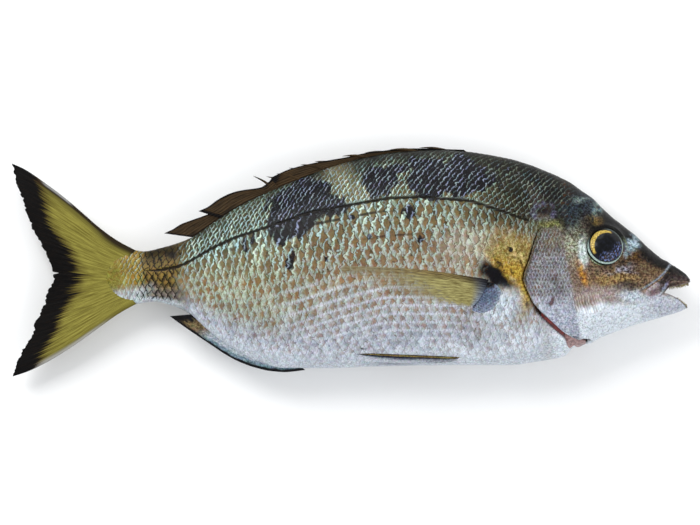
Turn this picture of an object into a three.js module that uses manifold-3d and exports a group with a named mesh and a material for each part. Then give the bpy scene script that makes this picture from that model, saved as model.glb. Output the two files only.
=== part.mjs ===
// A whole raw sea bream, 300 mm long, lying on its left side. Its head points along +X and its back along +Y.
// Millimetres, +Z up. The origin is on the surface that the fish lies on, below the middle of its outline.
// The skin is lofted through upright sections along X. Plates that lie on the skin, such as the gill covers,
// are cut out between two lofts of different size, so that they follow the body's curves.
import * as THREE from "three";
import { mergeVertices } from "three/addons/utils/BufferGeometryUtils.js";
import Module from "manifold-3d";

const wasm = await Module();
wasm.setup();

// Driving dimensions.
const MID_HEIGHT = 19.4; // from the surface to the fish's plane of symmetry
const GAP = 0.3; // between pieces that lie against each other
const TAIL_BASE_X = -109; // where the flesh ends inside the tail fin
const SNOUT_X = 149.8;
const DROOP_START_X = -25; // from here back the soft tail sinks towards the surface
const DROOP = 8.5; // how far the ends of the tail fin have sunk
const RINGS = 54; // sections along the loft
const RING_SIDES = 32;
const CROWDING = 1.3; // above 1, the sections stand closer together towards the snout
const THROUGH = 30; // half the depth of a cutter that goes right through the fish
const SIDES = { right: 1, left: -1 }; // the right side faces up

// The body's curves, as [x, value] pairs from tail to snout.
const BACK = [
  [-109, 2.6], [-104, 5], [-99, 6.2], [-91, 5.2], [-83.8, 6.6], [-75.2, 9.2], [-70.2, 11.2], [-60.2, 18],
  [-49.2, 25.2], [-28.7, 34.6], [-6.6, 43], [9.3, 47.2], [24.3, 49.3], [39.7, 49.9], [50.5, 49.2],
  [57.1, 48.4], [70.4, 45.9], [77, 44], [83.6, 41.6], [94.2, 36.9], [104.8, 30], [115.4, 20.4], [126, 12],
  [131.2, 7], [136.5, 2.4], [142, -0.9], [147.4, -4.4], [149.8, -6.8],
];
const BELLY = [
  [-109, -12.5], [-104, -17], [-97, -18.2], [-86.5, -17], [-81, -18.1], [-71.9, -21.9], [-64, -28.9],
  [-54.3, -36.4], [-42.4, -42.8], [-29.1, -46.4], [-8.8, -46.4], [11, -45.6], [50.7, -45], [70.6, -45],
  [83.8, -43.2], [91.5, -42], [94.5, -41], [97, -38.4], [100, -36.3], [104.8, -35.7], [110.1, -33],
  [118, -30], [124, -27.7], [133.7, -24.9], [144.5, -21.7], [149.8, -19.6],
];
const HALF_WIDTH = [
  [-109, 1.5], [-104, 2.4], [-97, 3.4], [-90, 4.5], [-80, 6.1], [-70, 7.9], [-55, 10.9], [-40, 13.7],
  [-22, 16.5], [0, 18.9], [20, 20.1], [40, 20.5], [60, 20.6], [75, 20.4], [90, 19.6], [100, 18.4],
  [110, 16.6], [120, 14], [130, 10.9], [138, 8.2], [143, 6.5], [147, 4.8], [149, 3.1], [149.8, 1.6],
];
// The height of the widest line of each section.
const EQUATOR = [
  [-109, -5.2], [-90, -6.4], [-70, -6.6], [-40, -5.6], [0, -2.4], [40, -0.8], [75, -2.4], [100, -5],
  [120, -9], [138, -13.3], [149.8, -13.4],
];
// How pinched a section is: 1 is a half ellipse, and more draws it towards a ridge.
const BACK_PINCH = 1.16;
const BELLY_PINCH = 0.96;

// Outlines seen from the right side, as [x, y] points round the piece.
const GILL_COVER = [
  [82.1, 14.1], [80.3, 7.9], [78.3, 1.3], [76.3, -4], [75.8, -7.5], [77.4, -11.9], [79.7, -16.8],
  [82.9, -20.7], [86.5, -24], [90.4, -27.6], [94.4, -30.9], [98.8, -33.4], [100.2, -30], [98.4, -23.4],
  [97.1, -16.8], [96.8, -7.9], [96.6, 0.9], [95.3, 9.7], [92.7, 14.6], [87.4, 16.3],
];
const GILLS = [
  [84, 9], [80.5, -4], [80, -12], [84.5, -19.5], [88, -26.5], [92.5, -32.2], [96.5, -34.5], [97.5, -30.5],
  [94.5, -22], [93, -8], [91, 8],
];
const UPPER_JAW = [
  [139.7, -4.1], [134.6, -8.8], [129.3, -12.6], [129.4, -14.4], [131.8, -15.7], [135.2, -15.2],
  [138, -13.1], [140.4, -10.9], [145.9, -9.5], [153, -8.4], [153, -3], [148.8, -2.4], [143, 1],
];
const MOUTH = [
  [138.2, -12.9], [140.4, -10.9], [145.9, -9.5], [153, -8.4], [153, -24], [148.9, -19.3], [147.6, -17.9],
  [145.4, -16.3], [142.7, -14.8],
];
const PECTORAL_FIN = [
  [60, -7.1], [49.4, -4.4], [35.7, -2.6], [22.1, -1.5], [8.8, -0.9], [-0.9, -1.3], [-6.2, -2.9],
  [-2.2, -5.3], [7.9, -9.7], [19.9, -14.6], [33.1, -19.4], [44.1, -22.1], [52.1, -19.9], [56.5, -16.3],
  [59.1, -12.4],
];
const PELVIC_FIN = [
  [48.5, -41.6], [35.3, -40.6], [22.1, -39.9], [3.1, -40], [11, -42], [22.1, -43.3], [35.3, -43.7],
  [45, -43.2],
];
const DORSAL_FIN = [
  [51.6, 49.2], [43.9, 50.3], [37.3, 50.7], [28, 50.7], [17.4, 50.3], [8.3, 48.9], [-2.4, 46.8],
  [-15.7, 44.6], [-22.1, 43.3], [-27.1, 41.9], [-26.7, 41.3], [-32.4, 40.8], [-31.8, 39.9], [-37.3, 38],
  [-43.1, 38.3], [-37.7, 37.1], [-37.1, 35.9], [-38.9, 33.4], [-41.3, 32.6], [-43.2, 32.8], [-48.6, 32.1],
  [-53.5, 30.6], [-58.7, 27.9], [-62.6, 25], [-67.1, 23], [-62.2, 21.5], [-64.9, 20.4], [-70, 19],
  [-74.8, 17.2], [-78.7, 14.8], [-82.4, 13.1], [-79.9, 11.5], [-71, 11.9], [-69.4, 10.4], [-60, 14.5],
  [-49, 21.5], [-28.7, 31], [-6.6, 40], [9.3, 44], [24.3, 46], [39.7, 46.8], [52, 46],
];
const ANAL_FIN = [
  [-79.8, -23.4], [-75.2, -26.9], [-68.6, -31.5], [-62, -35.9], [-55.4, -40.3], [-48.8, -43.8],
  [-42.1, -46.2], [-35.5, -47.7], [-28.9, -48.2], [-20.5, -47.9], [-21, -44], [-29.1, -43.4],
  [-42.4, -39.8], [-54.3, -33.4], [-64, -26.2], [-71.5, -21.6], [-73.5, -22.9],
];
const CAUDAL_FIN = [
  [-149.9, 44.1], [-144.9, 41.9], [-134.5, 35], [-125.3, 28], [-118.2, 21.9], [-110.3, 15.1],
  [-102.6, 9.7], [-94.9, 6], [-97, 0], [-103, -6], [-97, -14], [-94.6, -18.4], [-102.6, -22.5],
  [-113.4, -30.2], [-123.5, -37.3], [-134.3, -43.9], [-143.4, -48.2], [-149.5, -50.2], [-147.6, -43.5],
  [-144.9, -38.2], [-142.3, -34], [-139.6, -26.8], [-137, -22.1], [-134.3, -14.6], [-131.8, -6.2],
  [-134.3, 3.1], [-137, 8.8], [-139.6, 12.7], [-142.3, 19.2], [-144.9, 27], [-147.6, 34],
];
// The eyeball is a flattened ball that leans with the skin: back towards the tail and up towards the back.
const EYE = { x: 111.7, y: 7.1, z: 10.9, radius: 8.4, depth: 4.9, leanForward: 0.25, leanUp: 0.32 };
const MOUTH_CAVITY = { x: 139.5, y: -12.6, length: 9, height: 3.6, width: 5 };
const GUM_RADIUS = 0.6;
const TOOTH_RADIUS = 0.5;
const UPPER_GUM = {
  backX: 141.3, backY: -11.2, backWidth: 5.4, frontX: 148.6, frontY: -9, frontWidth: 2.6,
  teeth: 13, toothLength: 1.2, pointing: -1,
};
const LOWER_GUM = {
  backX: 143, backY: -15.2, backWidth: 4.6, frontX: 147.8, frontY: -18.3, frontWidth: 2.2,
  teeth: 11, toothLength: 0.8, pointing: 1,
};
// The skin's level is 0, and what lies on it reaches from an inner level to an outer one.
const COVER_OUTER = 0.7;
const COVER_INNER = -0.9;
const GILL_DEPTH = 2.4;
const FIN_OUTER = 0.25;
const FIN_INNER = -0.55;

const SKIN = new THREE.MeshStandardMaterial({ color: 0x9a9a92, roughness: 0.35, metalness: 0.1 });
const COVER = new THREE.MeshStandardMaterial({ color: 0xa39a98, roughness: 0.35, metalness: 0.1 });
const JAW = new THREE.MeshStandardMaterial({ color: 0x4c4640, roughness: 0.4 });
const TEETH = new THREE.MeshStandardMaterial({ color: 0xb8a670, roughness: 0.4 });
const GILL_RED = new THREE.MeshStandardMaterial({ color: 0x8c2a22, roughness: 0.4 });
const EYEBALL = new THREE.MeshStandardMaterial({ color: 0x14141a, roughness: 0.08 });
const DARK_FIN = new THREE.MeshStandardMaterial({ color: 0x46381f, roughness: 0.5 });
const TAIL_FIN = new THREE.MeshStandardMaterial({ color: 0x8c8528, roughness: 0.5 });
const CLEAR_FIN = new THREE.MeshStandardMaterial({ color: 0x9a9350, roughness: 0.5 });

// The value of a curve at x, by cubic pieces that don't overshoot their points.
function along(curve, x) {
  const last = curve.length - 1;
  const i = Math.min(Math.max(curve.findIndex((p) => p[0] > x) - 1, 0), last - 1);
  const at = x >= curve[last][0] ? last - 1 : i;
  const rise = (k) => (curve[k + 1][1] - curve[k][1]) / (curve[k + 1][0] - curve[k][0]);
  const tangent = (k) => {
    if (k === 0 || k === last) return rise(Math.min(k, last - 1));
    const before = rise(k - 1);
    const after = rise(k);
    return before * after <= 0 ? 0 : (2 * before * after) / (before + after);
  };
  const [x0, y0] = curve[at];
  const [x1, y1] = curve[at + 1];
  const span = x1 - x0;
  const t = Math.min(Math.max((x - x0) / span, 0), 1);
  const start = y0 * (1 + 2 * t) * (1 - t) ** 2 + tangent(at) * span * t * (1 - t) ** 2;
  const end = y1 * t * t * (3 - 2 * t) - tangent(at + 1) * span * t * t * (1 - t);
  return start + end;
}

// One point of the section at x, where angle 0 is the right flank and a quarter turn the back.
function skinPoint(x, angle, grow) {
  const equator = along(EQUATOR, x);
  const upper = Math.sin(angle) >= 0;
  const edge = upper ? along(BACK, x) + grow : along(BELLY, x) - grow;
  const pinch = upper ? BACK_PINCH : BELLY_PINCH;
  const across = Math.sign(Math.cos(angle)) * Math.abs(Math.cos(angle)) ** pinch;
  const y = equator + Math.abs(Math.sin(angle)) * (edge - equator);
  return [x, y, across * (along(HALF_WIDTH, x) + grow)];
}

// The whole body's loft, grown outwards by a distance, with flat ends.
function skinGeometry(grow) {
  const positions = [];
  const index = [];
  const ringStart = (i) => i * RING_SIDES;
  for (let i = 0; i <= RINGS; i++) {
    const x = SNOUT_X - (SNOUT_X - TAIL_BASE_X) * (1 - i / RINGS) ** CROWDING;
    const shift = i === 0 ? -grow : i === RINGS ? grow : 0;
    for (let j = 0; j < RING_SIDES; j++) {
      const [, y, z] = skinPoint(x, (2 * Math.PI * j) / RING_SIDES, grow);
      positions.push(x + shift, y, z);
    }
  }
  for (let i = 0; i < RINGS; i++)
    for (let j = 0; j < RING_SIDES; j++) {
      const next = (j + 1) % RING_SIDES;
      const [a, b] = [ringStart(i) + j, ringStart(i) + next];
      const [c, d] = [ringStart(i + 1) + j, ringStart(i + 1) + next];
      index.push(a, b, c, b, d, c);
    }
  for (let j = 1; j < RING_SIDES - 1; j++) {
    index.push(0, j + 1, j);
    index.push(ringStart(RINGS), ringStart(RINGS) + j, ringStart(RINGS) + j + 1);
  }
  return new THREE.BufferGeometry()
    .setAttribute("position", new THREE.Float32BufferAttribute(positions, 3))
    .setIndex(index);
}

// A closed three.js geometry as a solid that can be cut and joined.
function solid(geometry) {
  const bare = geometry.clone();
  bare.deleteAttribute("normal");
  bare.deleteAttribute("uv");
  const merged = mergeVertices(bare, 1e-4);
  const vertProperties = new Float32Array(merged.attributes.position.array);
  const made = new wasm.Manifold(
    new wasm.Mesh({ numProp: 3, vertProperties, triVerts: new Uint32Array(merged.index.array) }),
  );
  if (made.volume() > 0) return made;
  const turned = new Uint32Array(merged.index.array).reverse();
  return new wasm.Manifold(new wasm.Mesh({ numProp: 3, vertProperties, triVerts: turned }));
}

// The body grown by a distance and pressed flat a certain height above the surface.
function body(grow, height = 0) {
  const below = new THREE.BoxGeometry(400, 200, 40);
  below.translate(0, 0, -MID_HEIGHT + height - 20);
  return solid(skinGeometry(grow)).subtract(solid(below));
}

// An outline moved outwards by a distance, corner by corner.
function widened(outline, distance) {
  const points = outline.map(([x, y]) => new THREE.Vector2(x, y));
  const turn = THREE.ShapeUtils.area(points) > 0 ? 1 : -1;
  return points.map((p, i) => {
    const before = points[(i + points.length - 1) % points.length];
    const after = points[(i + 1) % points.length];
    const along1 = p.clone().sub(before).normalize();
    const along2 = after.clone().sub(p).normalize();
    const middle = along1.clone().add(along2).normalize();
    const spread = distance / Math.max(middle.dot(along1), 0.5);
    return [p.x + turn * middle.y * spread, p.y - turn * middle.x * spread];
  });
}

// An upright prism on an outline, between two heights measured from the plane of symmetry.
function prism(outline, low, high) {
  const shape = new THREE.Shape(outline.map(([x, y]) => new THREE.Vector2(x, y)));
  const geometry = new THREE.ExtrudeGeometry(shape, { depth: high - low, bevelEnabled: false });
  geometry.translate(0, 0, low);
  return solid(geometry);
}

function sidePrism(outline, side) {
  const near = 0.5;
  return side > 0 ? prism(outline, near, THROUGH) : prism(outline, -THROUGH, -near);
}

// A plate on the skin, from one distance outside it to another, and the hollow that the body needs for it.
function plate(outline, side, outer, inner) {
  const thickness = outer - inner;
  return sidePrism(outline, side).intersect(body(outer)).subtract(body(inner, thickness));
}
function hollow(outline, side, inner, thickness) {
  return sidePrism(widened(outline, GAP), side).subtract(body(inner - GAP, thickness + GAP));
}

function eyeball(side, spare) {
  const { x, y, z, radius, depth, leanForward, leanUp } = EYE;
  const geometry = new THREE.SphereGeometry(1, 24, 14);
  geometry.scale(radius + spare, radius + spare, depth + spare);
  geometry.rotateY(leanForward);
  geometry.rotateX(-leanUp);
  geometry.translate(x, y, z);
  geometry.scale(1, 1, side);
  return solid(geometry);
}

// A fin in the plane of symmetry, cut clear of the body.
function medianFin(outline, thickness) {
  return prism(outline, -thickness / 2, thickness / 2).subtract(body(GAP));
}

// A wedge across the whole height of the tail, thick at its root and thin at its rear edge.
function tailWedge() {
  const [rootX, rootHalf, edgeX, edgeHalf, height] = [-92, 1.5, -152, 0.45, 120];
  const corners = [[rootX, rootHalf], [edgeX, edgeHalf], [edgeX, -edgeHalf], [rootX, -rootHalf]];
  const shape = new THREE.Shape(corners.map(([x, y]) => new THREE.Vector2(x, y)));
  const geometry = new THREE.ExtrudeGeometry(shape, { depth: height, bevelEnabled: false });
  geometry.rotateX(Math.PI / 2);
  geometry.translate(0, height / 2, 0);
  return solid(geometry);
}

// The gum of one jaw, a thin tube that runs round the front of it, and the curve that it follows.
function gumCurve({ backX, backY, backWidth, frontX, frontY, frontWidth }) {
  const corner = (side) => new THREE.Vector3(backX, backY, side * backWidth);
  const cheek = (side) => new THREE.Vector3(frontX - 0.8, frontY + (backY - frontY) / 5, side * frontWidth);
  const front = new THREE.Vector3(frontX, frontY, 0);
  return new THREE.CatmullRomCurve3([corner(1), cheek(1), front, cheek(-1), corner(-1)]);
}
function gumTube(edge, radius) {
  const section = new THREE.Shape();
  section.absarc(0, 0, radius, 0, 2 * Math.PI);
  const options = { steps: 14, curveSegments: 4, extrudePath: gumCurve(edge) };
  return solid(new THREE.ExtrudeGeometry(section, options));
}

// The gum with its pointed teeth, which grow along Y.
function toothRow(edge) {
  const { teeth, toothLength, pointing } = edge;
  const curve = gumCurve(edge);
  let row = gumTube(edge, GUM_RADIUS);
  for (let i = 0; i < teeth; i++) {
    const root = curve.getPoint((i + 0.5) / teeth);
    const tooth = new THREE.ConeGeometry(TOOTH_RADIUS, toothLength, 6);
    if (pointing < 0) tooth.rotateX(Math.PI);
    tooth.translate(root.x, root.y + pointing * (toothLength / 2 + GUM_RADIUS / 2), root.z);
    row = row.add(solid(tooth));
  }
  return row;
}

// The tail's droop and the height of the plane of symmetry, given to every vertex of a finished solid.
function settled(made) {
  const mesh = made.getMesh();
  const positions = new Float32Array(mesh.numVert * 3);
  for (let i = 0; i < mesh.numVert; i++) {
    const [x, y, z] = mesh.vertProperties.subarray(i * mesh.numProp, i * mesh.numProp + 3);
    const back = Math.max(0, DROOP_START_X - x) / (DROOP_START_X + 150);
    positions.set([x, y, z + MID_HEIGHT - DROOP * back ** 2], i * 3);
  }
  return new THREE.BufferGeometry()
    .setAttribute("position", new THREE.BufferAttribute(positions, 3))
    .setIndex(new THREE.BufferAttribute(new Uint32Array(mesh.triVerts), 1));
}

const fish = new THREE.Group();
function addPiece(name, made, material) {
  const geometry = settled(made);
  geometry.computeVertexNormals();
  const mesh = new THREE.Mesh(geometry, material);
  mesh.name = name;
  fish.add(mesh);
}

// The mouth is a wedge across the whole snout with a rounded throat behind it.
const through = (outline) => prism(outline, -THROUGH, THROUGH);
const throat = new THREE.SphereGeometry(1, 16, 10);
throat.scale(MOUTH_CAVITY.length, MOUTH_CAVITY.height, MOUTH_CAVITY.width);
throat.translate(MOUTH_CAVITY.x, MOUTH_CAVITY.y, 0);
const whole = body(0).subtract(through(MOUTH)).subtract(solid(throat));
const jaw = whole.intersect(through(UPPER_JAW)).subtract(gumTube(UPPER_GUM, GUM_RADIUS + GAP));
let trunk = whole.subtract(through(widened(UPPER_JAW, GAP))).subtract(gumTube(LOWER_GUM, GUM_RADIUS + GAP));
addPiece("upper_jaw", jaw, JAW);
addPiece("upper_tooth_row", toothRow(UPPER_GUM), TEETH);
addPiece("lower_tooth_row", toothRow(LOWER_GUM), TEETH);

for (const [name, side] of Object.entries(SIDES)) {
  const coverThickness = COVER_OUTER - COVER_INNER;
  const gillOuter = COVER_INNER - GAP;
  const gillInner = gillOuter - GILL_DEPTH;
  const gillReach = coverThickness + GAP + GILL_DEPTH;
  const gillBed = body(gillOuter, coverThickness + GAP).subtract(body(gillInner, gillReach));
  addPiece(`gill_cover_${name}`, plate(GILL_COVER, side, COVER_OUTER, COVER_INNER), COVER);
  addPiece(`gills_${name}`, sidePrism(GILLS, side).intersect(gillBed), GILL_RED);
  trunk = trunk
    .subtract(hollow(GILL_COVER, side, COVER_INNER, coverThickness))
    .subtract(hollow(GILLS, side, gillInner, gillReach));
  for (const [fin, outline] of [["pectoral", PECTORAL_FIN], ["pelvic", PELVIC_FIN]]) {
    addPiece(`${fin}_fin_${name}`, plate(outline, side, FIN_OUTER, FIN_INNER), CLEAR_FIN);
    trunk = trunk.subtract(hollow(outline, side, FIN_INNER, FIN_OUTER - FIN_INNER));
  }
  addPiece(`eye_${name}`, eyeball(side, 0), EYEBALL);
  trunk = trunk.subtract(eyeball(side, GAP));
}

addPiece("body", trunk, SKIN);
addPiece("dorsal_fin", medianFin(DORSAL_FIN, 1.4), DARK_FIN);
addPiece("anal_fin", medianFin(ANAL_FIN, 1.2), DARK_FIN);
addPiece("caudal_fin", through(CAUDAL_FIN).intersect(tailWedge()).subtract(body(GAP)), TAIL_FIN);

export default fish;
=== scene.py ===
"""A whole raw sea bream on a pale floor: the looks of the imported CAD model.

Shapes are worked out in millimetres, in the fish's own frame: +X to the snout, +Y to the back, and z away
from the plane of symmetry, positive on the right side, which faces up. settle() then lays a shape down
where the CAD model lies, and add_piece() turns it into metres.
"""
import bpy
import bmesh
import math
import numpy as np
from itertools import product
from types import SimpleNamespace
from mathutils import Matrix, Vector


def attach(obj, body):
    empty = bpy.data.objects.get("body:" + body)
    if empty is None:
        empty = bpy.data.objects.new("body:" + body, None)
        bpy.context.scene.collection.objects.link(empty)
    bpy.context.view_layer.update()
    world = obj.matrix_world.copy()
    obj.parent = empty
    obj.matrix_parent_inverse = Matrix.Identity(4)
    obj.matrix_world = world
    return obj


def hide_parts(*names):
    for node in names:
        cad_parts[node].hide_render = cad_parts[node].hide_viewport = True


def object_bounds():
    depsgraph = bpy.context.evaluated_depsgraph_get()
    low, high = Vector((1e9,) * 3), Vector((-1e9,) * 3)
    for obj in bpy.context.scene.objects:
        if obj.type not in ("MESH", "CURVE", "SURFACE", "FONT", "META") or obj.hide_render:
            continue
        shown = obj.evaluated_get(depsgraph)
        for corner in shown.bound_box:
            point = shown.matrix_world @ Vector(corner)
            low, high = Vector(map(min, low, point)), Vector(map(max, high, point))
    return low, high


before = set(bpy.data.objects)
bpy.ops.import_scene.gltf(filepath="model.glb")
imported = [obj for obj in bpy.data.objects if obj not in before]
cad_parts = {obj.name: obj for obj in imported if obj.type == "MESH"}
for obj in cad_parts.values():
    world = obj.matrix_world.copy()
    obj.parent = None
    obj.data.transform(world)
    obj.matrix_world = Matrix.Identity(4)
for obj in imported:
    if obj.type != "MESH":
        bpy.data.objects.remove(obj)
cad_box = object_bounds()

MM = 0.001
SIDES = {"right": 1, "left": -1}
MID_HEIGHT = 19.4  # from the floor to the plane of symmetry
SNOUT_X = 149.8
TAIL_BASE_X = -109
DROOP_START_X = -25
DROOP = 8.5  # how far the tail's rear edge has sunk

# The body's curves, the same as the CAD model's, as [x, value] from tail to snout.
BACK = [
    [-109, 2.6], [-104, 5], [-99, 6.2], [-91, 5.2], [-83.8, 6.6], [-75.2, 9.2], [-70.2, 11.2], [-60.2, 18],
    [-49.2, 25.2], [-28.7, 34.6], [-6.6, 43], [9.3, 47.2], [24.3, 49.3], [39.7, 49.9], [50.5, 49.2],
    [57.1, 48.4], [70.4, 45.9], [77, 44], [83.6, 41.6], [94.2, 36.9], [104.8, 30], [115.4, 20.4], [126, 12],
    [131.2, 7], [136.5, 2.4], [142, -0.9], [147.4, -4.4], [149.8, -6.8],
]
BELLY = [
    [-109, -12.5], [-104, -17], [-97, -18.2], [-86.5, -17], [-81, -18.1], [-71.9, -21.9], [-64, -28.9],
    [-54.3, -36.4], [-42.4, -42.8], [-29.1, -46.4], [-8.8, -46.4], [11, -45.6], [50.7, -45], [70.6, -45],
    [83.8, -43.2], [91.5, -42], [94.5, -41], [97, -38.4], [100, -36.3], [104.8, -35.7], [110.1, -33],
    [118, -30], [124, -27.7], [133.7, -24.9], [144.5, -21.7], [149.8, -19.6],
]
HALF_WIDTH = [
    [-109, 1.5], [-104, 2.4], [-97, 3.4], [-90, 4.5], [-80, 6.1], [-70, 7.9], [-55, 10.9], [-40, 13.7],
    [-22, 16.5], [0, 18.9], [20, 20.1], [40, 20.5], [60, 20.6], [75, 20.4], [90, 19.6], [100, 18.4],
    [110, 16.6], [120, 14], [130, 10.9], [138, 8.2], [143, 6.5], [147, 4.8], [149, 3.1], [149.8, 1.6],
]
EQUATOR = [
    [-109, -5.2], [-90, -6.4], [-70, -6.6], [-40, -5.6], [0, -2.4], [40, -0.8], [75, -2.4], [100, -5],
    [120, -9], [138, -13.3], [149.8, -13.4],
]
BACK_PINCH = 1.16  # how sharp the back is; the sections would be ovals at 1
BELLY_PINCH = 0.96

# Lines on the flank and round the pieces, as [x, y].
LATERAL_LINE = [
    [-109, -4.3], [-83.7, -3.1], [-75.8, -1.5], [-72.1, 0.2], [-59.5, 7.4], [-51, 11.2], [-34.2, 16.7],
    [-17.3, 22.6], [-0.4, 25.5], [16.5, 28.5], [31, 29.1], [39.9, 28.4], [53.5, 27.1], [67, 22.6],
    [78.5, 18.6],
    [150, 18],
]
COVER_REAR = [
    [88, 16.2], [83, 14.8], [80.8, 9.5], [78.3, 1.3], [76.3, -4], [75.8, -7.5], [77.4, -11.9], [79.7, -16.8],
    [82.9, -20.7], [86.5, -24], [90.4, -27.6], [94.4, -30.9], [98.2, -32.8], [103, -33.8],
]
COVER_FRONT = [
    [94, 15.8], [96.6, 9.7], [97.5, 0.9], [97.6, -7.9], [98, -16.8], [100, -23.4], [103, -29],
    [108, -33.4],
]
MOUTH_ROOF = [
    [129.2, -14.2], [131.6, -15.9], [134.8, -15.4], [138.1, -12.8], [140.5, -10.7], [145.8, -9.5],
    [149.4, -8.6],
]
MOUTH_FLOOR = [[130, -14], [138.3, -13.2], [141.4, -14.2], [144.2, -15.8], [146.6, -17.6], [148.6, -19.2]]
JAW_TOP = [
    [129, -12.4], [131.8, -10], [134.6, -8], [138, -5.2], [140.2, -3], [142.2, -0.9], [145, -2.8],
    [147.4, -4.5],
    [149.2, -6.3],
]
PREORBITAL = [[127, -12.6], [131.8, -9.6], [134.8, -7.6], [138.2, -4.8], [141, -1.2]]
EYE = {"x": 111.3, "y": 6.8, "z": 10.9, "radius": 9.0, "depth": 4.9, "lean_forward": 0.25, "lean_up": 0.32}
# How long a scale is, below and above the lateral line.
SCALE_LENGTH = [
    [-109, 1.9], [-94, 2.3], [-84, 3.0], [-75, 3.1], [-45, 3.15], [-20, 3.8], [20, 4.1], [50, 4.0], [70, 3.4],
    [77, 2.4], [150, 2.4],
]
UPPER_LENGTH = [
    [-109, 1.9], [-94, 2.3], [-84, 2.9], [-74, 2.9], [-62, 2.3], [60, 2.25], [77, 2.4], [150, 2.4],
]
# From one row of scales to the next, above the lateral line.
UPPER_ROW = [[-109, 2.0], [-90, 2.5], [-75, 2.8], [-60, 2.3], [20, 2.25], [90, 2.2], [150, 2.2]]
# Below the lateral line, how many rows down each line is.
ROW_LINES = [
    (0, LATERAL_LINE),
    (4, [[-109, -12], [-90, -14], [-75, -14], [-60, -11.5], [-45, -9], [-30, -5.5], [0, 3], [20, 6.5],
         [40, 7], [60, 5],
         [78, 2], [150, 0]]),
    (8, [[-109, -22], [-75, -24], [-60, -26], [-45, -28], [-30, -26], [0, -17], [20, -13], [40, -13],
         [60, -15],
         [78, -18], [150, -20]]),
    (16, [[-109, -34], [-75, -42], [-45, -52], [-30, -50], [0, -45], [20, -41], [40, -41], [60, -44],
         [78, -46],
          [150, -50]]),
]
SCALE_POWER = 1.35  # how round a scale's free edge is
FLANKS_APART = 50.0  # how far apart the flanks are as the noise sees them
NO_LINE = 9  # a distance at which the lateral line doesn't show
COVER_SEAM = [[96.5, -20.5], [91.5, -25]]

# The fins' outlines, as [x, y].
TAIL_ROOT = [[-94.9, 5.6], [-99, 2], [-103.5, -6], [-99, -13], [-94.6, -18]]
TAIL_TOP = [
    [-94.9, 5.6], [-102.6, 9.7], [-110.3, 15.1], [-118.2, 21.9], [-125.3, 28], [-134.5, 35],
    [-144.9, 41.9], [-149.9, 44.1],
]
TAIL_BOTTOM = [
    [-94.6, -18], [-102.6, -22.5], [-113.4, -30.2], [-123.5, -37.3], [-134.3, -43.9], [-143.4, -48.2],
    [-149.5, -50.2],
]
TAIL_EDGE = [
    [-149.9, 44.1], [-147.6, 34], [-144.9, 27], [-142.3, 19.2], [-139.6, 12.7], [-137, 8.8], [-134.3, 3.1],
    [-131.8, -6.2], [-134.3, -14.6], [-137, -22.1], [-139.6, -26.8], [-142.3, -34], [-144.9, -38.2],
    [-147.6, -43.5], [-149.5, -50.2],
]
SPINE_TIPS = [[-45, 38.6], [-37, 38.2], [-27.4, 42], [-16, 44.8], [6, 48.6], [30, 50.8], [52, 49.6]]
# The back fin's parts: base, outer edge, number of rays, and level above the plane of symmetry.
DORSAL_PARTS = {
    "front": (
        [[52, 48.4], [24, 48], [-6, 41.6], [-25, 34.5], [-41, 28]],
        [[50, 50], [28, 50.6], [8.3, 48.8], [-2.4, 46.6], [-15, 44.4], [-27, 41.4], [-34.5, 38]], 16, 0.0,
    ),
    "middle": (
        [[-30, 32], [-40, 28.4], [-50, 23.4], [-57.5, 19.8]],
        [[-35, 36.8], [-39.6, 33.4], [-48.6, 32], [-53.5, 30.6], [-58.7, 27.9], [-63, 24.8], [-67.1, 22.9]],
        9, 0.25,
    ),
    "rear": (
        [[-54, 21], [-60, 16.6], [-66, 12.9], [-69.5, 11.3]],
        [[-60, 22.6], [-66, 20.4], [-70, 19], [-74.8, 17.2], [-78.7, 14.8], [-82.4, 13.1]], 8, -0.25,
    ),
}
ANAL_BASE = [[-22, -45.6], [-30, -45.2], [-42.4, -41.4], [-54.3, -35], [-64, -27.4], [-70, -22.6]]
ANAL_EDGE = [
    [-20, -47.2], [-28.9, -48.1], [-35.5, -47.6], [-42.1, -46.1], [-48.8, -43.7], [-55.4, -40.2],
    [-62, -35.8], [-68.6, -31.4], [-75.2, -26.8], [-79.8, -23.4],
]
SIDE_FIN_ROOT = [[60.5, -7.2], [58.8, -11.5], [56.2, -16], [52, -20.2]]
SIDE_FIN_TIP = [[-5.5, -1.3], [-7.4, -2.4], [-4, -4.4], [8.2, -9.4], [20, -14.2], [33, -18.8], [43.5, -21.6]]
LOBE_FRONT = [[69, -9.5], [70, -14], [67.5, -20], [62, -24]]
LOBE_REAR = [[58.6, -7.4], [57, -11.5], [54.4, -17], [52, -21]]
BELLY_FIN_TOP = [[48.2, -41.3], [35, -40.7], [20, -40.1], [9, -39.7], [2.8, -39.9]]
BELLY_FIN_BOTTOM = [[46.5, -42.8], [35, -43.8], [20, -43.7], [10, -42.2], [2.2, -40.6]]

# Skin colours down the flank, from belly (0) to back (1): the middle of a scale, and its edge, paler partly
# from the scales' silver and partly from painted highlight.
MIDDLE_COLOURS = {
    0.0: "c4ccd6", 0.05: "b4bbc6", 0.14: "8e949e", 0.26: "8c8278", 0.42: "806c54", 0.58: "6e573d",
    0.74: "625436",
    0.88: "423a26", 0.95: "26231a", 1.0: "0b0a08",
}
EDGE_COLOURS = {
    0.0: "dce4ec", 0.05: "ccd4de", 0.14: "aeb5c0", 0.28: "a0a5ad", 0.42: "989e98", 0.58: "8a9890",
    0.74: "7e9288",
    0.88: "5a7064", 0.95: "38463e", 1.0: "1a2019",
}
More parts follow.
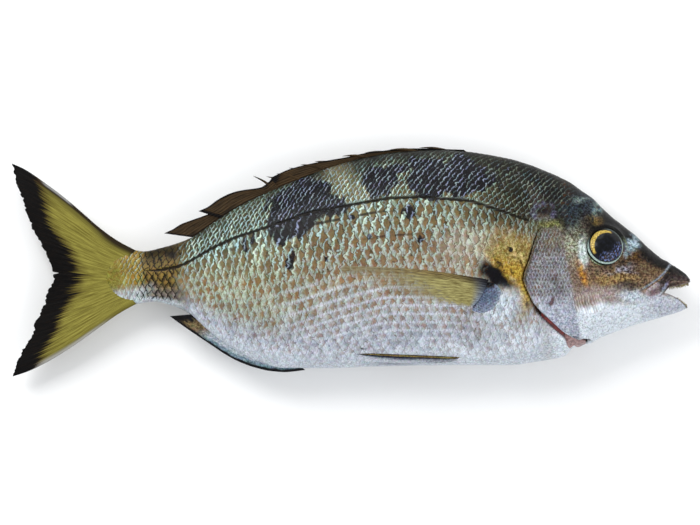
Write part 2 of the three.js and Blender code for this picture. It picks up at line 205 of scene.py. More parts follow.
# Dark blotches: x, y, half length, half height and amount.
BLOTCHES = [
    (-23, 25, 11, 9, 1.5), (-10, 25, 7, 5.5, 1.3), (-18, 33, 9, 5, 1.3), (-28, 17, 8, 8, 1.25),
    (-23, 6, 2.4, 6, 0.75), (-24.5, 0, 2.6, 4.5, 0.75), (13, 36, 7.5, 7, 1.4), (20, 42, 6, 3, 1.0),
    (35, 37, 9, 8.5, 1.5), (49, 38, 11, 8, 1.45), (57, 36, 7, 6, 1.0), (33, 44, 9, 3, 1.0),
    (25.5, 22, 3, 5.5, 0.85), (-45.5, 8, 1.2, 4.5, 0.8), (-42, 12, 1.2, 3.5, 0.7),
    (-10.6, 1.2, 2, 2, 0.8), (-9, -0.5, 1.2, 3.5, 0.7), (8.2, 11, 1.2, 2.8, 0.9), (23, 17, 2.2, 1.6, 0.8),
    (0.8, 20, 1.8, 1.7, 0.9), (29.5, 10.8, 1.8, 1.6, 0.75), (70, 7.4, 1.5, 1.7, 1.1),
    (46, -31, 1, 1.6, 0.7), (7.5, -36.6, 2, 0.8, 0.8), (64, 37, 6, 7, 0.75),
]
# Patches of colour: middle of a scale, edge, amount, how broken up, x, y, half length, half height, softness.
FLANK_PATCHES = [
    ("8c8474", "aeae9e", 0.75, 0, 50, 7, 13, 9, 2.5),
    ("8a8c92", "a4a8b0", 0.8, 0, 58, -27, 10, 7, 2.5),
]
NAPE_PATCHES = [
    ("0e0e12", "34424e", 0.8, 0, 100, 25, 8, 9),
    ("0c0a0a", "26241f", 0.7, 0, 92, 32, 9, 6, 2.5),
]
CHEEK_PATCHES = [
    ("1c140f", "5e4c3a", 0.9, 0, 118, 0, 10, 4),
    ("4a3018", "ac8e5c", 1, 0, 117, -7, 10, 3.6),
    ("16110e", "3c3026", 0.9, 0, 121, -10.4, 5, 1.8),
    ("2c2826", "b4b4c4", 0.9, 1, 121, -3.6, 8, 1.5),
    ("4c5460", "b8c0cc", 0.9, 1, 124.5, -1.4, 2, 1.5),
    ("3a2612", "7a5a30", 1, 0, 126, 3.6, 6, 3.4),
    ("30221a", "6e5a48", 0.7, 0, 126, -1.5, 4, 3),
    ("4a3626", "86705a", 0.75, 0, 99.5, -4, 4, 9),
    ("17120f", "4a3524", 1.1, 0, 131.5, 3.2, 5, 3.2),
    ("4a3628", "7c684e", 1, 0, 132, -3.4, 6, 2.6),
]
EYE_PATCHES = [
    ("5a5240", "b4baa4", 1, 0.65, 98.5, 8, 4.8, 8.5),
    ("9aa8a4", "e4f0f0", 1, 0, 101.6, 4.6, 1.9, 6.5),
    ("6e8490", "c6dbe4", 1, 1, 124, 9.4, 2.8, 3),
    ("4a5a66", "a4bcc8", 0.8, 1, 122, 4.5, 1.8, 3),
    ("3a4648", "84948e", 0.9, 1, 100.5, 28.3, 3.2, 1.6),
    ("4a7484", "a8b4a8", 0.9, 1, 107.4, 23, 2.6, 3),
    ("4e3a1c", "806a3c", 0.8, 1, 107.5, 18.8, 3.4, 1.6),
]
LAMPS = [  # name, place, size and power
    ("key", (-0.5, 0.65, 0.9), 0.6, 9),
    ("fill", (0.75, -0.35, 0.8), 0.8, 4),
    ("rim", (0.1, 0.95, 0.35), 0.5, 2),
]


def rgb(text):
    """A linear colour from a hexadecimal one."""
    values = np.array([int(text[i : i + 2], 16) / 255 for i in (0, 2, 4)])
    return np.where(values <= 0.04045, values / 12.92, ((values + 0.055) / 1.055) ** 2.4)


def along(curve, x):
    """A curve's values at x, by cubic pieces that don't overshoot its points."""
    px, py = np.array(curve, float).T
    x = np.asarray(x, float)
    rise = np.diff(py) / np.diff(px)
    slope = np.zeros(len(px))
    slope[0], slope[-1] = rise[0], rise[-1]
    same = rise[:-1] * rise[1:] > 0
    total = np.where(same, rise[:-1] + rise[1:], 1)
    slope[1:-1] = np.where(same, 2 * rise[:-1] * rise[1:] / total, 0)
    i = np.clip(np.searchsorted(px, x, side="right") - 1, 0, len(px) - 2)
    span = px[i + 1] - px[i]
    t = np.clip((x - px[i]) / span, 0, 1)
    start = py[i] * (1 + 2 * t) * (1 - t) ** 2 + slope[i] * span * t * (1 - t) ** 2
    end = py[i + 1] * t * t * (3 - 2 * t) - slope[i + 1] * span * t * t * (1 - t)
    return start + end


def spaced(points, count):
    """A smooth line through points, as count points at even steps."""
    points = np.array(points, float)
    reach = np.concatenate([[0], np.cumsum(np.linalg.norm(np.diff(points, axis=0), axis=1))])
    at = np.linspace(0, reach[-1], count)
    return np.stack([along(np.stack([reach, column], 1), at) for column in points.T], 1)


def smooth(low, high, value):
    t = np.clip((value - low) / (high - low), 0, 1)
    return t * t * (3 - 2 * t)


def noise(points, size, seed=0):
    """Smooth noise from -1 to 1 at points, the same on each run."""
    scaled = points / size
    cell = np.floor(scaled).astype(np.int64)
    part = scaled - cell
    part = part * part * (3 - 2 * part)
    total = np.zeros(points.shape[:-1])
    primes = np.array([73856093, 19349663, 83492791])[: points.shape[-1]]
    for corner in product((0, 1), repeat=points.shape[-1]):
        key = ((cell + corner) * primes).sum(-1) + seed * 6542989
        key = ((key ^ (key >> 13)) * 1274126177) & 0x7FFFFFFF
        key = ((key ^ (key >> 15)) * 668265263) & 0x7FFFFFFF
        weight = np.prod(np.where(corner, part, 1 - part), axis=-1)
        total += weight * key / 0x7FFFFFFF
    return 2 * total - 1


def line_distance(x, y, line):
    """The distance from points to a line of points, positive to the left of its direction."""
    best = np.full(np.shape(x), 1e9)
    sign = np.ones(np.shape(x))
    line = np.array(line, float)
    for (ax, ay), (bx, by) in zip(line[:-1], line[1:]):
        dx, dy = bx - ax, by - ay
        t = np.clip(((x - ax) * dx + (y - ay) * dy) / (dx * dx + dy * dy), 0, 1)
        distance = np.hypot(x - ax - t * dx, y - ay - t * dy)
        side = np.sign(dx * (y - ay) - dy * (x - ax))
        nearer = distance < best
        best = np.where(nearer, distance, best)
        sign = np.where(nearer, side, sign)
    return best * sign


def spot(x, y, centre_x, centre_y, radius_x, radius_y, soft=2.0):
    """1 in the middle of an oval patch, falling to 0 outside it."""
    reach = np.hypot((x - centre_x) / radius_x, (y - centre_y) / radius_y)
    return np.exp(-(reach ** (2 * soft)) * 0.7)


def section(x, angle):
    """Points of the skin at x, where angle 0 is the right flank and a quarter turn the back."""
    equator = along(EQUATOR, x)
    upper = np.sin(angle) >= 0
    edge = np.where(upper, along(BACK, x), along(BELLY, x))
    pinch = np.where(upper, BACK_PINCH, BELLY_PINCH)
    across = np.sign(np.cos(angle)) * np.abs(np.cos(angle)) ** pinch
    y = equator + np.abs(np.sin(angle)) * (edge - equator)
    return np.stack(np.broadcast_arrays(x, y, across * along(HALF_WIDTH, x)), -1)


def skin_depth(x, y):
    """How far the skin at x, y is from the plane of symmetry."""
    equator = along(EQUATOR, x)
    upper = y >= equator
    edge = np.where(upper, along(BACK, x), along(BELLY, x))
    share = np.clip((y - equator) / (edge - equator), 0, 0.9995)
    pinch = np.where(upper, BACK_PINCH, BELLY_PINCH)
    return np.sqrt(1 - share**2) ** pinch * along(HALF_WIDTH, x)


def on_skin(x, y, side, lift):
    """Points on one side's skin at x, y, lifted along its outward direction."""
    step = 0.4
    z = skin_depth(x, y)
    slope_x = (skin_depth(x + step, y) - skin_depth(x - step, y)) / (2 * step)
    slope_y = (skin_depth(x, y + step) - skin_depth(x, y - step)) / (2 * step)
    outward = np.stack([-slope_x, -slope_y, np.ones_like(z)], -1)
    outward /= np.linalg.norm(outward, axis=-1, keepdims=True)
    points = np.stack([x, y, z], -1) + outward * np.asarray(lift)[..., None]
    return points * [1, 1, side]


def settle(points):
    """Presses the left flank flat on the floor, droops the tail and raises the fish to where it lies."""
    points = np.array(points, float)
    above = points[..., 2] + MID_HEIGHT
    pressed = (above + np.sqrt(above**2 + 0.09)) / 2
    back = np.maximum(0, DROOP_START_X - points[..., 0]) / (DROOP_START_X + 150)
    points[..., 2] = pressed - DROOP * back**2
    return points


def grid_faces(rows, columns, closed=False):
    i, j = np.meshgrid(np.arange(rows - 1), np.arange(columns - (not closed)), indexing="ij")
    after = (j + 1) % columns
    corners = [i * columns + j, (i + 1) * columns + j, (i + 1) * columns + after, i * columns + after]
    return np.stack(corners, -1).reshape(-1, 4)


def add_piece(name, points, faces, material, nodes, fields=None, uv=None):
    """A piece of the fish from settled points in millimetres, with values per point for its material."""
    mesh = bpy.data.meshes.new(name)
    mesh.from_pydata((np.asarray(points) * MM).tolist(), [], [list(map(int, face)) for face in faces])
    for key, values in (fields or {}).items():
        values = np.asarray(values, np.float32)
        kind, attribute = {1: ("FLOAT", "value"), 3: ("FLOAT_VECTOR", "vector")}[1 if values.ndim == 1 else 3]
        layer = mesh.attributes.new(key, kind, "POINT")
        layer.data.foreach_set(attribute, values.ravel())
    if uv is not None:
        mesh.uv_layers.new(name="OFBake").data.foreach_set("uv", np.asarray(uv, np.float32).ravel())
    edit = bmesh.new()
    edit.from_mesh(mesh)
    bmesh.ops.recalc_face_normals(edit, faces=edit.faces)
    edit.to_mesh(mesh)
    edit.free()
    mesh.polygons.foreach_set("use_smooth", np.ones(len(mesh.polygons), bool))
    mesh.materials.append(material)
    piece = bpy.data.objects.new(name, mesh)
    bpy.context.scene.collection.objects.link(piece)
    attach(piece, "root")
    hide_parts(*nodes)
    return piece


def add_sheet(name, top, bottom, material, nodes, fields=None):
    """A thin closed piece between two grids of points, whose fields are given for one grid."""
    rows, columns = top.shape[:2]
    count = rows * columns
    faces = grid_faces(rows, columns)
    index = np.arange(count).reshape(rows, columns)
    rim = np.concatenate([index[0, :-1], index[:-1, -1], index[-1, :0:-1], index[:0:-1, 0]])
    after = np.roll(rim, -1)
    sides = np.stack([rim, after, after + count, rim + count], -1)
    points = np.concatenate([top.reshape(-1, 3), bottom.reshape(-1, 3)])
    both = {key: np.concatenate([v.reshape(count, *v.shape[2:])] * 2) for key, v in (fields or {}).items()}
    unwrapped = np.meshgrid(np.linspace(0.01, 0.99, rows), np.linspace(0.01, 0.485, columns), indexing="ij")
    place = np.stack(unwrapped, -1).reshape(-1, 2)
    place = np.concatenate([place, place + [0, 0.5]])
    faces = np.concatenate([faces, faces[:, ::-1] + count, sides])
    return add_piece(name, settle(points), faces, material, nodes, both, place[faces.ravel()])


def add_upright_sheet(name, flat, middle, half, material, nodes, fields):
    """A sheet in the plane of symmetry at flat's [x, y], from its middle level and half its thickness."""
    top, bottom = (np.concatenate([flat, (middle + way * half)[..., None]], -1) for way in (1, -1))
    return add_sheet(name, top, bottom, material, nodes, fields)


def arithmetic(operation, swapped=False):
    def combine(self, other):
        return self.nodes.math(operation, *((other, self) if swapped else (self, other)))

    return combine


class Wire:
    """An output of a node. Arithmetic with it makes Math nodes."""

    __add__, __radd__ = arithmetic("ADD"), arithmetic("ADD", True)
    __sub__, __rsub__ = arithmetic("SUBTRACT"), arithmetic("SUBTRACT", True)
    __mul__, __rmul__ = arithmetic("MULTIPLY"), arithmetic("MULTIPLY", True)
    __truediv__, __pow__ = arithmetic("DIVIDE"), arithmetic("POWER")

    def __init__(self, nodes, socket):
        self.nodes, self.socket = nodes, socket

    def __abs__(self):
        return self.nodes.math("ABSOLUTE", self)


class Nodes:
    """Builds a tree of nodes, from wires, numbers and hexadecimal colours."""

    def __init__(self, tree):
        self.tree = tree

    def link(self, value, socket):
        if isinstance(value, Wire):
            self.tree.links.new(value.socket, socket)
        else:
            socket.default_value = (*rgb(value), 1) if isinstance(value, str) else value

    def add(self, kind, values=(), **settings):
        """A new node with values on its first sockets, or on those that a dictionary names."""
        node = self.tree.nodes.new("ShaderNode" + kind)
        for key, value in settings.items():
            setattr(node, key, value)
        for key, value in dict(values if isinstance(values, dict) else enumerate(values)).items():
            self.link(value, node.inputs[key])
        return node

    def get(self, kind, values=(), output=0, **settings):
        """The wire from a new node."""
        return Wire(self, self.add(kind, values, **settings).outputs[output])

    def math(self, operation, *values):
        return self.get("Math", values, operation=operation)

    def field(self, name, output="Vector"):
        return self.get("Attribute", output=output, attribute_name=name)

    def parts(self, vector):
        return [Wire(self, socket) for socket in self.add("SeparateXYZ", [vector]).outputs]

    def vector(self, *values):
        return self.get("CombineXYZ", values)

    def ramp(self, value, low, high, start=0.0, end=1.0):
        """From start to end, smoothly, as the value goes from low to high."""
        return self.get("MapRange", (value, low, high, start, end), interpolation_type="SMOOTHSTEP")

    def mix(self, amount, under, over, blend="MIX"):
        return self.get("Mix", {0: amount, 6: under, 7: over}, 2, data_type="RGBA", blend_type=blend)

    def blend(self, amount, under, over):
        """A number between two others."""
        return self.get("Mix", {0: amount, 2: under, 3: over}, data_type="FLOAT")

    def noise(self, vector, size, detail=2.0, rough=0.5, output=0):
        values = {"Vector": vector, "Scale": 1 / size, "Detail": detail, "Roughness": rough}
        return self.get("TexNoise", values, output)

    def millimetres(self):
        """The place of a point of the piece, in millimetres."""
        place = self.get("TexCoord", output="Object")
        return self.get("VectorMath", {0: place, "Scale": 1 / MM}, operation="SCALE")

    def bump(self, height, distance, strength=1.0, **normal):
        return self.get("Bump", {"Strength": strength, "Distance": distance * MM, "Height": height, **normal})


class Material(Nodes):
    """A material's nodes, whose shader's named sockets get constant values."""

    def __init__(self, name, **settings):
        self.material = bpy.data.materials.new(name)
        self.material.use_nodes = True
        super().__init__(self.material.node_tree)
        self.surface(**settings)

    def surface(self, **values):
        """Puts values on the shader's sockets, and gives the material."""
        shader = self.tree.nodes["Principled BSDF"]
        for key, value in values.items():
            self.link(value, shader.inputs[key.replace("_", " ")])
        return self.material


def scale_group():
    """Overlapping scales: how far a point is in front of its scale's free edge, and numbers for the scale."""
    tree = bpy.data.node_groups.new("overlapping_scales", "ShaderNodeTree")
    for name, kind in (("Along", "Float"), ("Row", "Float")):
        tree.interface.new_socket(name, in_out="INPUT", socket_type="NodeSocket" + kind)
    for name, kind in (("Depth", "Float"), ("Across", "Float"), ("Random", "Color")):
        tree.interface.new_socket(name, in_out="OUTPUT", socket_type="NodeSocket" + kind)
    n = Nodes(tree)
    given = tree.nodes.new("NodeGroupInput").outputs
    column, rows = Wire(n, given["Along"]), Wire(n, given["Row"])
    sets = []
    for half in (0.0, 0.5):
        row = (rows + 2 * half) * 0.5
        nearest = n.math("ROUND", row)
        across = (row - nearest) * 2.0
        edge = column - half + abs(across) ** SCALE_POWER * 0.5
        sets.append((n.math("FLOOR", edge) + half, 1.0 - n.math("FRACT", edge), across, nearest - half))
    first = n.math("LESS_THAN", sets[0][0], sets[1][0])
    centre, depth, across, row = [n.blend(first, later, sooner) for sooner, later in zip(*sets)]
    chance = n.get("TexWhiteNoise", {"Vector": n.vector(centre, row, 0.0)}, "Color", noise_dimensions="2D")
    out = tree.nodes.new("NodeGroupOutput").inputs
    for name, value in (("Depth", depth), ("Across", across), ("Random", chance)):
        n.link(value, out[name])
    return tree


def scale_relief(a, row):
    """The same scales as scale_group(), as a height from 0 at a scale's front to 1 at its free edge."""
    found = []
    for half in (0.0, 0.5):
        place = (row + 2 * half) / 2
        across = (place - np.round(place)) * 2
        edge = a - half + 0.5 * np.abs(across) ** SCALE_POWER
        found.append((np.floor(edge) + half, edge - np.floor(edge)))
    return np.where(found[0][0] < found[1][0], found[0][1], found[1][1])


def ramp_colour(table, height):
    heights = np.array(list(table))
    colours = np.array([rgb(value) for value in table.values()])
    return np.stack([np.interp(height, heights, column) for column in colours.T], -1)


def paint(colours, text, amount):
    return colours + (rgb(text) - colours) * np.clip(amount, 0, 1)[..., None]


def skin_place(points):
    """Where points of the flanks are: exactly, wandering about a little, and in height from belly to back."""
    x, y, z = np.moveaxis(points, -1, 0)
    far = np.where(z >= 0, FLANKS_APART, -FLANKS_APART)
    seeded = np.stack([x, y, far], -1)
    wander, ripple = noise(seeded, 9, 1), noise(seeded, 3, 2)
    back, belly = along(BACK, x), along(BELLY, x)
    height = np.clip((y - belly) / (back - belly), 0, 1)
    return SimpleNamespace(
        x=x, y=y, far=far, wander=wander, ripple=ripple,
        wx=x + 2.2 * wander + ripple,
        wy=y + 2.2 * noise(seeded, 8, 4) + ripple,
        height=np.clip(height + 0.03 * wander + 0.015 * ripple, 0, 1),
        broken=smooth(-0.5, 0.3, noise(seeded, 1.3, 3) + 0.6 * ripple),
    )


class Coat:
    """The skin's two colours, the middle of a scale and its edge, which layers of paint cover."""

    def __init__(self, middle, edge):
        self.middle, self.edge = middle, edge

    def paint(self, inner, outer, amount=1.0):
        self.middle, self.edge = paint(self.middle, inner, amount), paint(self.edge, outer, amount)

    def patches(self, p, table):
        """Oval patches: two colours, amount, how broken up, x, y, half length, half height and softness."""
        for inner, outer, amount, broken, *oval in table:
            self.paint(inner, outer, amount * (1 - broken + broken * p.broken) * spot(p.wx, p.wy, *oval))


def paint_flank(coat, p):
    """The flank's colours. Gives how much a point is on the tail's root, and on the golden shoulder."""
    x, wx, wy, height = p.x, p.wx, p.wy, p.height
    # The rear flank is greener, and the tail's root golden with a pale strip below.
    rear = 0.7 * smooth(0, -45, x) * smooth(0.85, 0.6, height) * smooth(0.12, 0.3, height)
    coat.paint("6e6446", "9cab98", rear)
    coat.paint("3c3b2a", "94b0aa", 0.8 * smooth(-15, -45, x) * smooth(0.62, 0.78, height))
    root = smooth(-70, -78, wx)
    coat.paint("756030", "2c2618", root)
    coat.paint("8c7430", "7c7c48", smooth(-90, -95, wx))
    coat.paint("2c2412", "16130c", root * smooth(0.6, 0.95, height) * smooth(-94, -88, wx))
    coat.paint("807a74", "4c4842", 0.85 * root * smooth(-8, -14, wy) * smooth(-92, -88, wx))
    coat.paint("94989c", "b4bcc0", root * smooth(-9, -13.5, wy) * smooth(-86, -93, wx))
    coat.paint("a8acb4", "ccd8de", root * smooth(0.14, 0.04, height))
    coat.patches(p, [("15120f", "2a261e", 0.9, 0, -78.5, 3.2, 2.6, 2.0)])
    tail_base = 0.85 * smooth(-98, -103.5, wx + 0.15 * np.abs(wy + 5)) * smooth(-15, -11, wy)
    coat.paint("6e6424", "8f883e", tail_base)
    coat.patches(p, FLANK_PATCHES)
    coat.paint("bcc4ce", "dae2ea", 0.75 * smooth(-34, -40, wy) * smooth(28, 50, x) * smooth(96, 84, x))
    coat.patches(p, [("b4bcc6", "d0d8e0", 0.6, 0, 76, -36, 16, 9, 2.5)])
    # The shoulder's golden patch, with the black skin above the side fin's root.
    gold = 1.3 * spot(wx, wy, 71, 0, 10.5, 11, 1.6) * smooth(57, 61, wx + 0.4 * wy)
    gold = np.clip(np.maximum(gold, 1.2 * spot(wx, wy, 76, -11, 3.4, 10)), 0, 1)
    coat.paint("866820", "c2a448", gold)
    coat.paint("5e4c24", "a09868", 0.7 * gold * smooth(-1, 4, wy))
    # Painted shade in the crinkled skin's creases, and painted highlight on its crests.
    crinkle = noise(np.stack([x + 0.35 * p.y, 0.3 * p.y, p.far], -1), 1.1, 5)
    coat.paint("241a0c", "5a4820", gold * smooth(0.2, 0.6, crinkle))
    coat.paint("b8a070", "e0cc8c", 0.8 * gold * smooth(-0.3, -0.6, crinkle))
    coat.paint("07060a", "0e0d12", 1.4 * spot(wx, wy + 0.5 * (wx - 63), 62.8, -6.2, 6.6, 3.4))
    coat.patches(p, [("9aa3ae", "c4ced8", 1, 0, 66, -19, 8, 7)])
    # The strip of the other belly fin, and the olive gap between the blotches.
    coat.paint("3c4252", "6c7486", 0.6 * spot(wx, p.y, 18, -44.4, 11, 0.8, 1.0))
    coat.paint("6a6244", "8ea4a8", 0.85 * spot(wx + 0.7 * (wy - 33), wy, 0, 33, 8, 14))
    coat.paint("16140e", "434334", 0.9 * smooth(42, 76, x) * smooth(0.6, 0.75, height))
    return root, gold


def paint_head(coat, p):
    """The head: dark above, bronze on the cheek and silver on the throat. Gives how much a point is on it."""
    x, y, wx, wy, height = p.x, p.y, p.wx, p.wy, p.height
    head = smooth(82, 92, x + 0.35 * np.maximum(y - 14, 0))
    coat.paint("6e5f56", "a0968e", head * smooth(0.93, 0.8, height))
    coat.paint("0b0a08", "2b2b24", head * smooth(0.6, 0.72, height + 0.05 * p.wander))
    coat.patches(p, NAPE_PATCHES)
    coat.paint("33241a", "8a7256", 0.9 * smooth(98, 106, x) * smooth(-15, -9, wy) * smooth(0.9, 0.7, height))
    coat.patches(p, CHEEK_PATCHES)
    coat.paint("0f0e0e", "201e1e", smooth(0.76, 0.9, height) * smooth(108, 116, x))
    coat.paint("08080a", "161616", spot(x, y, 112, 12.5, 10.3, 8.2, 2.5))
    coat.patches(p, EYE_PATCHES)
    # The slanting gill opening above the cover, its dark middle painted shade, and the ring of skin round it.
    ring = np.abs(np.hypot((x - 84.5) / 4.6, (y - 22.6) / 3.6) - 1)
    coat.paint("2c2a3c", "6c6c84", 0.9 * smooth(0.45, 0.1, ring) * p.broken)
    coat.paint("0c0a10", "1c1822", spot(x, y, 84.3, 23, 2.6, 1.7))
    coat.patches(p, [("42421e", "8c8e56", 1, 0.6, 86.5, 16.6, 5.2, 3.2)])
    golden = spot(wx + 0.5 * (wy + 4), wy, 101.5, -4, 1.9, 5.5) * (0.3 + 0.7 * p.broken)
    coat.paint("7a4a14", "cc9440", golden)
    coat.paint("7a6c68", "b4a8a2", spot(wx, wy, 112, -15, 10, 5) * head)
    coat.patches(p, [("98a2ae", "d8e2ea", 1, 0, 124, -14.4, 6, 2.2)])
    coat.paint("ccd5df", "dfe7ee", head * smooth(-16.5, -20.5, wy - 0.12 * (wx - 110)))
    coat.patches(p, [("a8acba", "c8ced8", 1, 0, 139, -18.2, 12, 4.4)])
    lip = smooth(0.5, 0.1, np.abs(line_distance(x, y, MOUTH_FLOOR)))
    coat.paint("5a5058", "8d8488", 0.9 * lip * smooth(136, 139, x))
    ridge = smooth(0.6, 0.15, np.abs(line_distance(x, y, PREORBITAL) - 0.4))
    coat.paint("747e8c", "b4c0cc", 0.8 * ridge * smooth(127, 130, x))
    return head


def paint_cover(coat, p):
    """The gill cover's plates. Gives how much a point is on them."""
    x, y = p.x, p.y
    to_rear = cover_distance(x, y)[0]
    plate = smooth(-0.3, 0.6, to_rear) * smooth(97.5, 96, x + 0.2 * (y + 10)) * smooth(17, 13, y)
    coat.paint("4e4a4c", "a0a2aa", plate * smooth(-24, -18, y))
    coat.paint("4a4030", "7c7460", 0.8 * plate * smooth(2, 9, p.wy))
    coat.paint("8e94a4", "c4cad8", plate * smooth(-14, -21, p.wy + p.ripple))
    coat.paint("363234", "85868e", 0.7 * plate * smooth(0.1, 0.5, p.ripple))
    coat.paint("3a2226", "5a3038", 0.9 * plate * spot(p.wx, p.wy, 89.4, -16.8, 0.9, 2.2))
    coat.paint("2a2618", "4c4630", 0.85 * plate * smooth(1.6, 0.6, to_rear) * smooth(-14, -6, y))
    seam = line_distance(x, y, [[96.8, -3], [96.9, -15], *COVER_SEAM])
    coat.paint("aab2c0", "e4eaf2", 0.8 * smooth(0.5, 0.1, np.abs(seam)) * p.broken)
    return plate


def skin_fields(points, reach, open_slit=True):
    """What the skin's material needs at points of the flanks: colours, the scales' lattice and marks.

    reach is the distance round the body from its widest line, positive towards the back.
    """
    p = skin_place(points)
    x, y, wx, wy, height = p.x, p.y, p.wx, p.wy, p.height
    coat = Coat(ramp_colour(MIDDLE_COLOURS, height), ramp_colour(EDGE_COLOURS, height))
    root, gold = paint_flank(coat, p)
    head = paint_head(coat, p)
    plate = paint_cover(coat, p)
    # Painted shade in the hollow under the gill cover, tinted with the gills' red.
    if open_slit:
        coat.paint("140605", "2a0e0a", smooth(0.1, 0.6, cover_hollow(x, y)))
    blotch = np.zeros(x.shape)
    for *oval, amount in BLOTCHES:
        blotch = np.maximum(blotch, amount * spot(wx, wy, *oval, 1.5))

    # How far a point is from the lateral line, which ends behind the head.
    lateral = np.abs(line_distance(x, y, LATERAL_LINE)) + 0.75 * smooth(-82, -94, x)
    lateral = lateral * smooth(79.2, 78.4, x) + NO_LINE * smooth(78.4, 79.2, x)
    # The lattice: which scale from the snout, and which row up. It is finer on the cheek, and stands upright
    # on the ridges.
    above = reach - unrolled(x, along(LATERAL_LINE, x))
    length = np.where(above > 0, scale_columns(x, UPPER_LENGTH), scale_columns(x, SCALE_LENGTH))
    column, row = length + 0.1 * np.maximum(0, above), scale_rows(x, reach)
    scaly = smooth(88, 82, x) * smooth(0.0, 0.1, height)
    scaly = np.maximum(scaly, 0.75 * smooth(0.72, 0.8, height) * smooth(101, 90, x))
    scaly = scaly * (1 - 0.8 * spot(x, y, 87, 20, 7, 7)) * smooth(-106, -100, wx + 0.1 * np.abs(wy + 5))
    scaly = scaly * (1 - 0.92 * gold) * (1 - spot(wx, wy, 63.5, -5.6, 6, 3))
    cheek = np.maximum(plate * smooth(-23, -17, y), 0.8 * spot(x, y, 108, -13.5, 10, 7, 3) * head)
    ridged = spot(x, y, 104.5, -17.5, 6.5, 4.5) > 0.3
    fine = cheek > scaly
    column = np.where(ridged, (x + 0.35 * y + 0.4 * p.ripple) / 1.25, np.where(fine, column * 1.6, column))
    row = np.where(ridged, 0.05 * y, np.where(fine, y / 1.75, row))
    strength = np.maximum(np.maximum(scaly, 0.6 * cheek), 0.9 * ridged)

    # How dark the painted shade between scales is, how wide their pale rims (partly painted highlight), how
    # they glint, and pale or dark rows.
    net = root * smooth(-100, -92, x) * smooth(-21, -15, y)
    dark_lines = 0.35 + 0.3 * smooth(0.35, 0.6, height) + 0.1 * smooth(0.6, 0.8, height)
    dark_lines = dark_lines + 0.35 * smooth(45, 75, x) * smooth(0.6, 0.75, height)
    dark_lines = np.minimum(np.maximum(net, dark_lines), 1) * strength
    rim = 0.66 - 0.27 * smooth(0.3, 0.62, height) - 0.14 * smooth(0, 10, above) - 0.1 * root
    glint = (0.25 + 0.75 * smooth(0.45, 0.75, height)) * smooth(0.12, 0.3, height) * smooth(1.0, 0.9, height)
    glint = glint * (1 - 0.6 * smooth(20, 60, x)) * (1 - root)
    glint = np.maximum(glint, 0.5 * smooth(-90, -94, x) * smooth(-104, -99, wx))
    bands = smooth(-42, -12, x) * smooth(62, 45, x) * smooth(-6, -12, y) * smooth(-38, -31, y)
    bands = bands - 0.9 * spot(x, y, 6, 17, 32, 6, 2.0)
    return {
        "middle": coat.middle,
        "edge": coat.edge,
        "lattice": np.stack([column, row, strength], -1),
        "marks": np.stack([blotch, lateral, dark_lines], -1),
        "tones": np.stack([rim, glint, bands], -1),
    }


def unrolled(x, y):
    """About how far round the body y is from its widest line, positive towards the back."""
    equator = along(EQUATOR, x)
    edge = np.where(y >= equator, along(BACK, x), along(BELLY, x))
    share = np.clip((y - equator) / (edge - equator), 0, 1.2)
    return (y - equator) * (1 + 0.05 * share**2 + 0.03 * share**8)


def scale_rows(x, reach):
    """Which row of scales a point is in, counted up from the lateral line."""
    levels = [(count, unrolled(x, along(line, x))) for count, line in ROW_LINES]
    row = (reach - levels[0][1]) / along(UPPER_ROW, x)
    for (count, upper), (next_count, lower) in zip(levels, levels[1:]):
        t = (upper - reach) / (upper - lower)
        row = np.where(reach < upper, -count - (next_count - count) * t, row)
    return row


def scale_columns(x, length):
    """How many scales a point is from the snout."""
    steps = np.linspace(TAIL_BASE_X - 3, SNOUT_X + 2, 1200)
    counted = np.cumsum((steps[1] - steps[0]) / along(length, steps))
    return counted[-1] - np.interp(x, steps, counted)


def cover_distance(x, y):
    """Distances in front of the gill cover's rear edge and behind its front edge."""
    return line_distance(x, y, COVER_REAR), -line_distance(x, y, COVER_FRONT)


def cover_hollow(x, y):
    """1 under the gill cover, falling to 0 just behind its rear edge and well behind its front edge."""
    rear, front = cover_distance(x, y)
    wide = 1.3 * smooth(-17, -22, y)
    return smooth(-1.4, 0.5, rear + wide) * smooth(1.0, 4.0, front) * smooth(15.8, 13.5, y)


def skin_shape(points, outward, fields, relief=0.13):
    """Moves the skin's points in or out for scales, bones and hollows."""
    x, y = points[..., 0], points[..., 1]
    a, row, strength = np.moveaxis(fields["lattice"], -1, 0)
    lift = relief * (scale_relief(a, row) - 0.4) * strength
    lift -= 0.25 * np.exp(-((fields["marks"][..., 1] / 0.6) ** 2)) * smooth(-109, -100, x)
    lift -= 1.7 * cover_hollow(x, y)
    orbit = np.hypot(x - EYE["x"], y - EYE["y"])
    lift -= 2.6 * smooth(8.3, 6.8, orbit)
    lift += 0.55 * np.exp(-(((orbit - 9.4) / 1.2) ** 2))
    step = line_distance(x, y, PREORBITAL)
    lift += 0.45 * smooth(-0.1, 0.5, step) * smooth(6, 1, step) * smooth(126, 130, x) * smooth(142, 139, x)
    head = smooth(84, 96, x)
    rough = noise(points, 1.5, 5) * 0.06 + noise(points, 4, 6) * 0.16
    lift += rough * (0.35 + 0.65 * head)
    for pit_x, pit_y, radius in ((131.5, 1.3, 0.8), (128.6, 3.6, 0.95)):
        lift -= 0.9 * np.exp(-(((x - pit_x) ** 2 + (y - pit_y) ** 2) / radius**2))
    return points + outward * lift[..., None]


def round_off(points, end, length, centre_y):
    """Rounds the last length before end by drawing the sections in towards a centre."""
    x = points[..., 0]
    t = np.clip((x - (end - length)) / length, 0, 1)
    keep = np.sqrt(np.clip(1 - t**2, 0, 1))
    points[..., 1] = centre_y + (points[..., 1] - centre_y) * keep
    points[..., 2] = points[..., 2] * keep
    return points


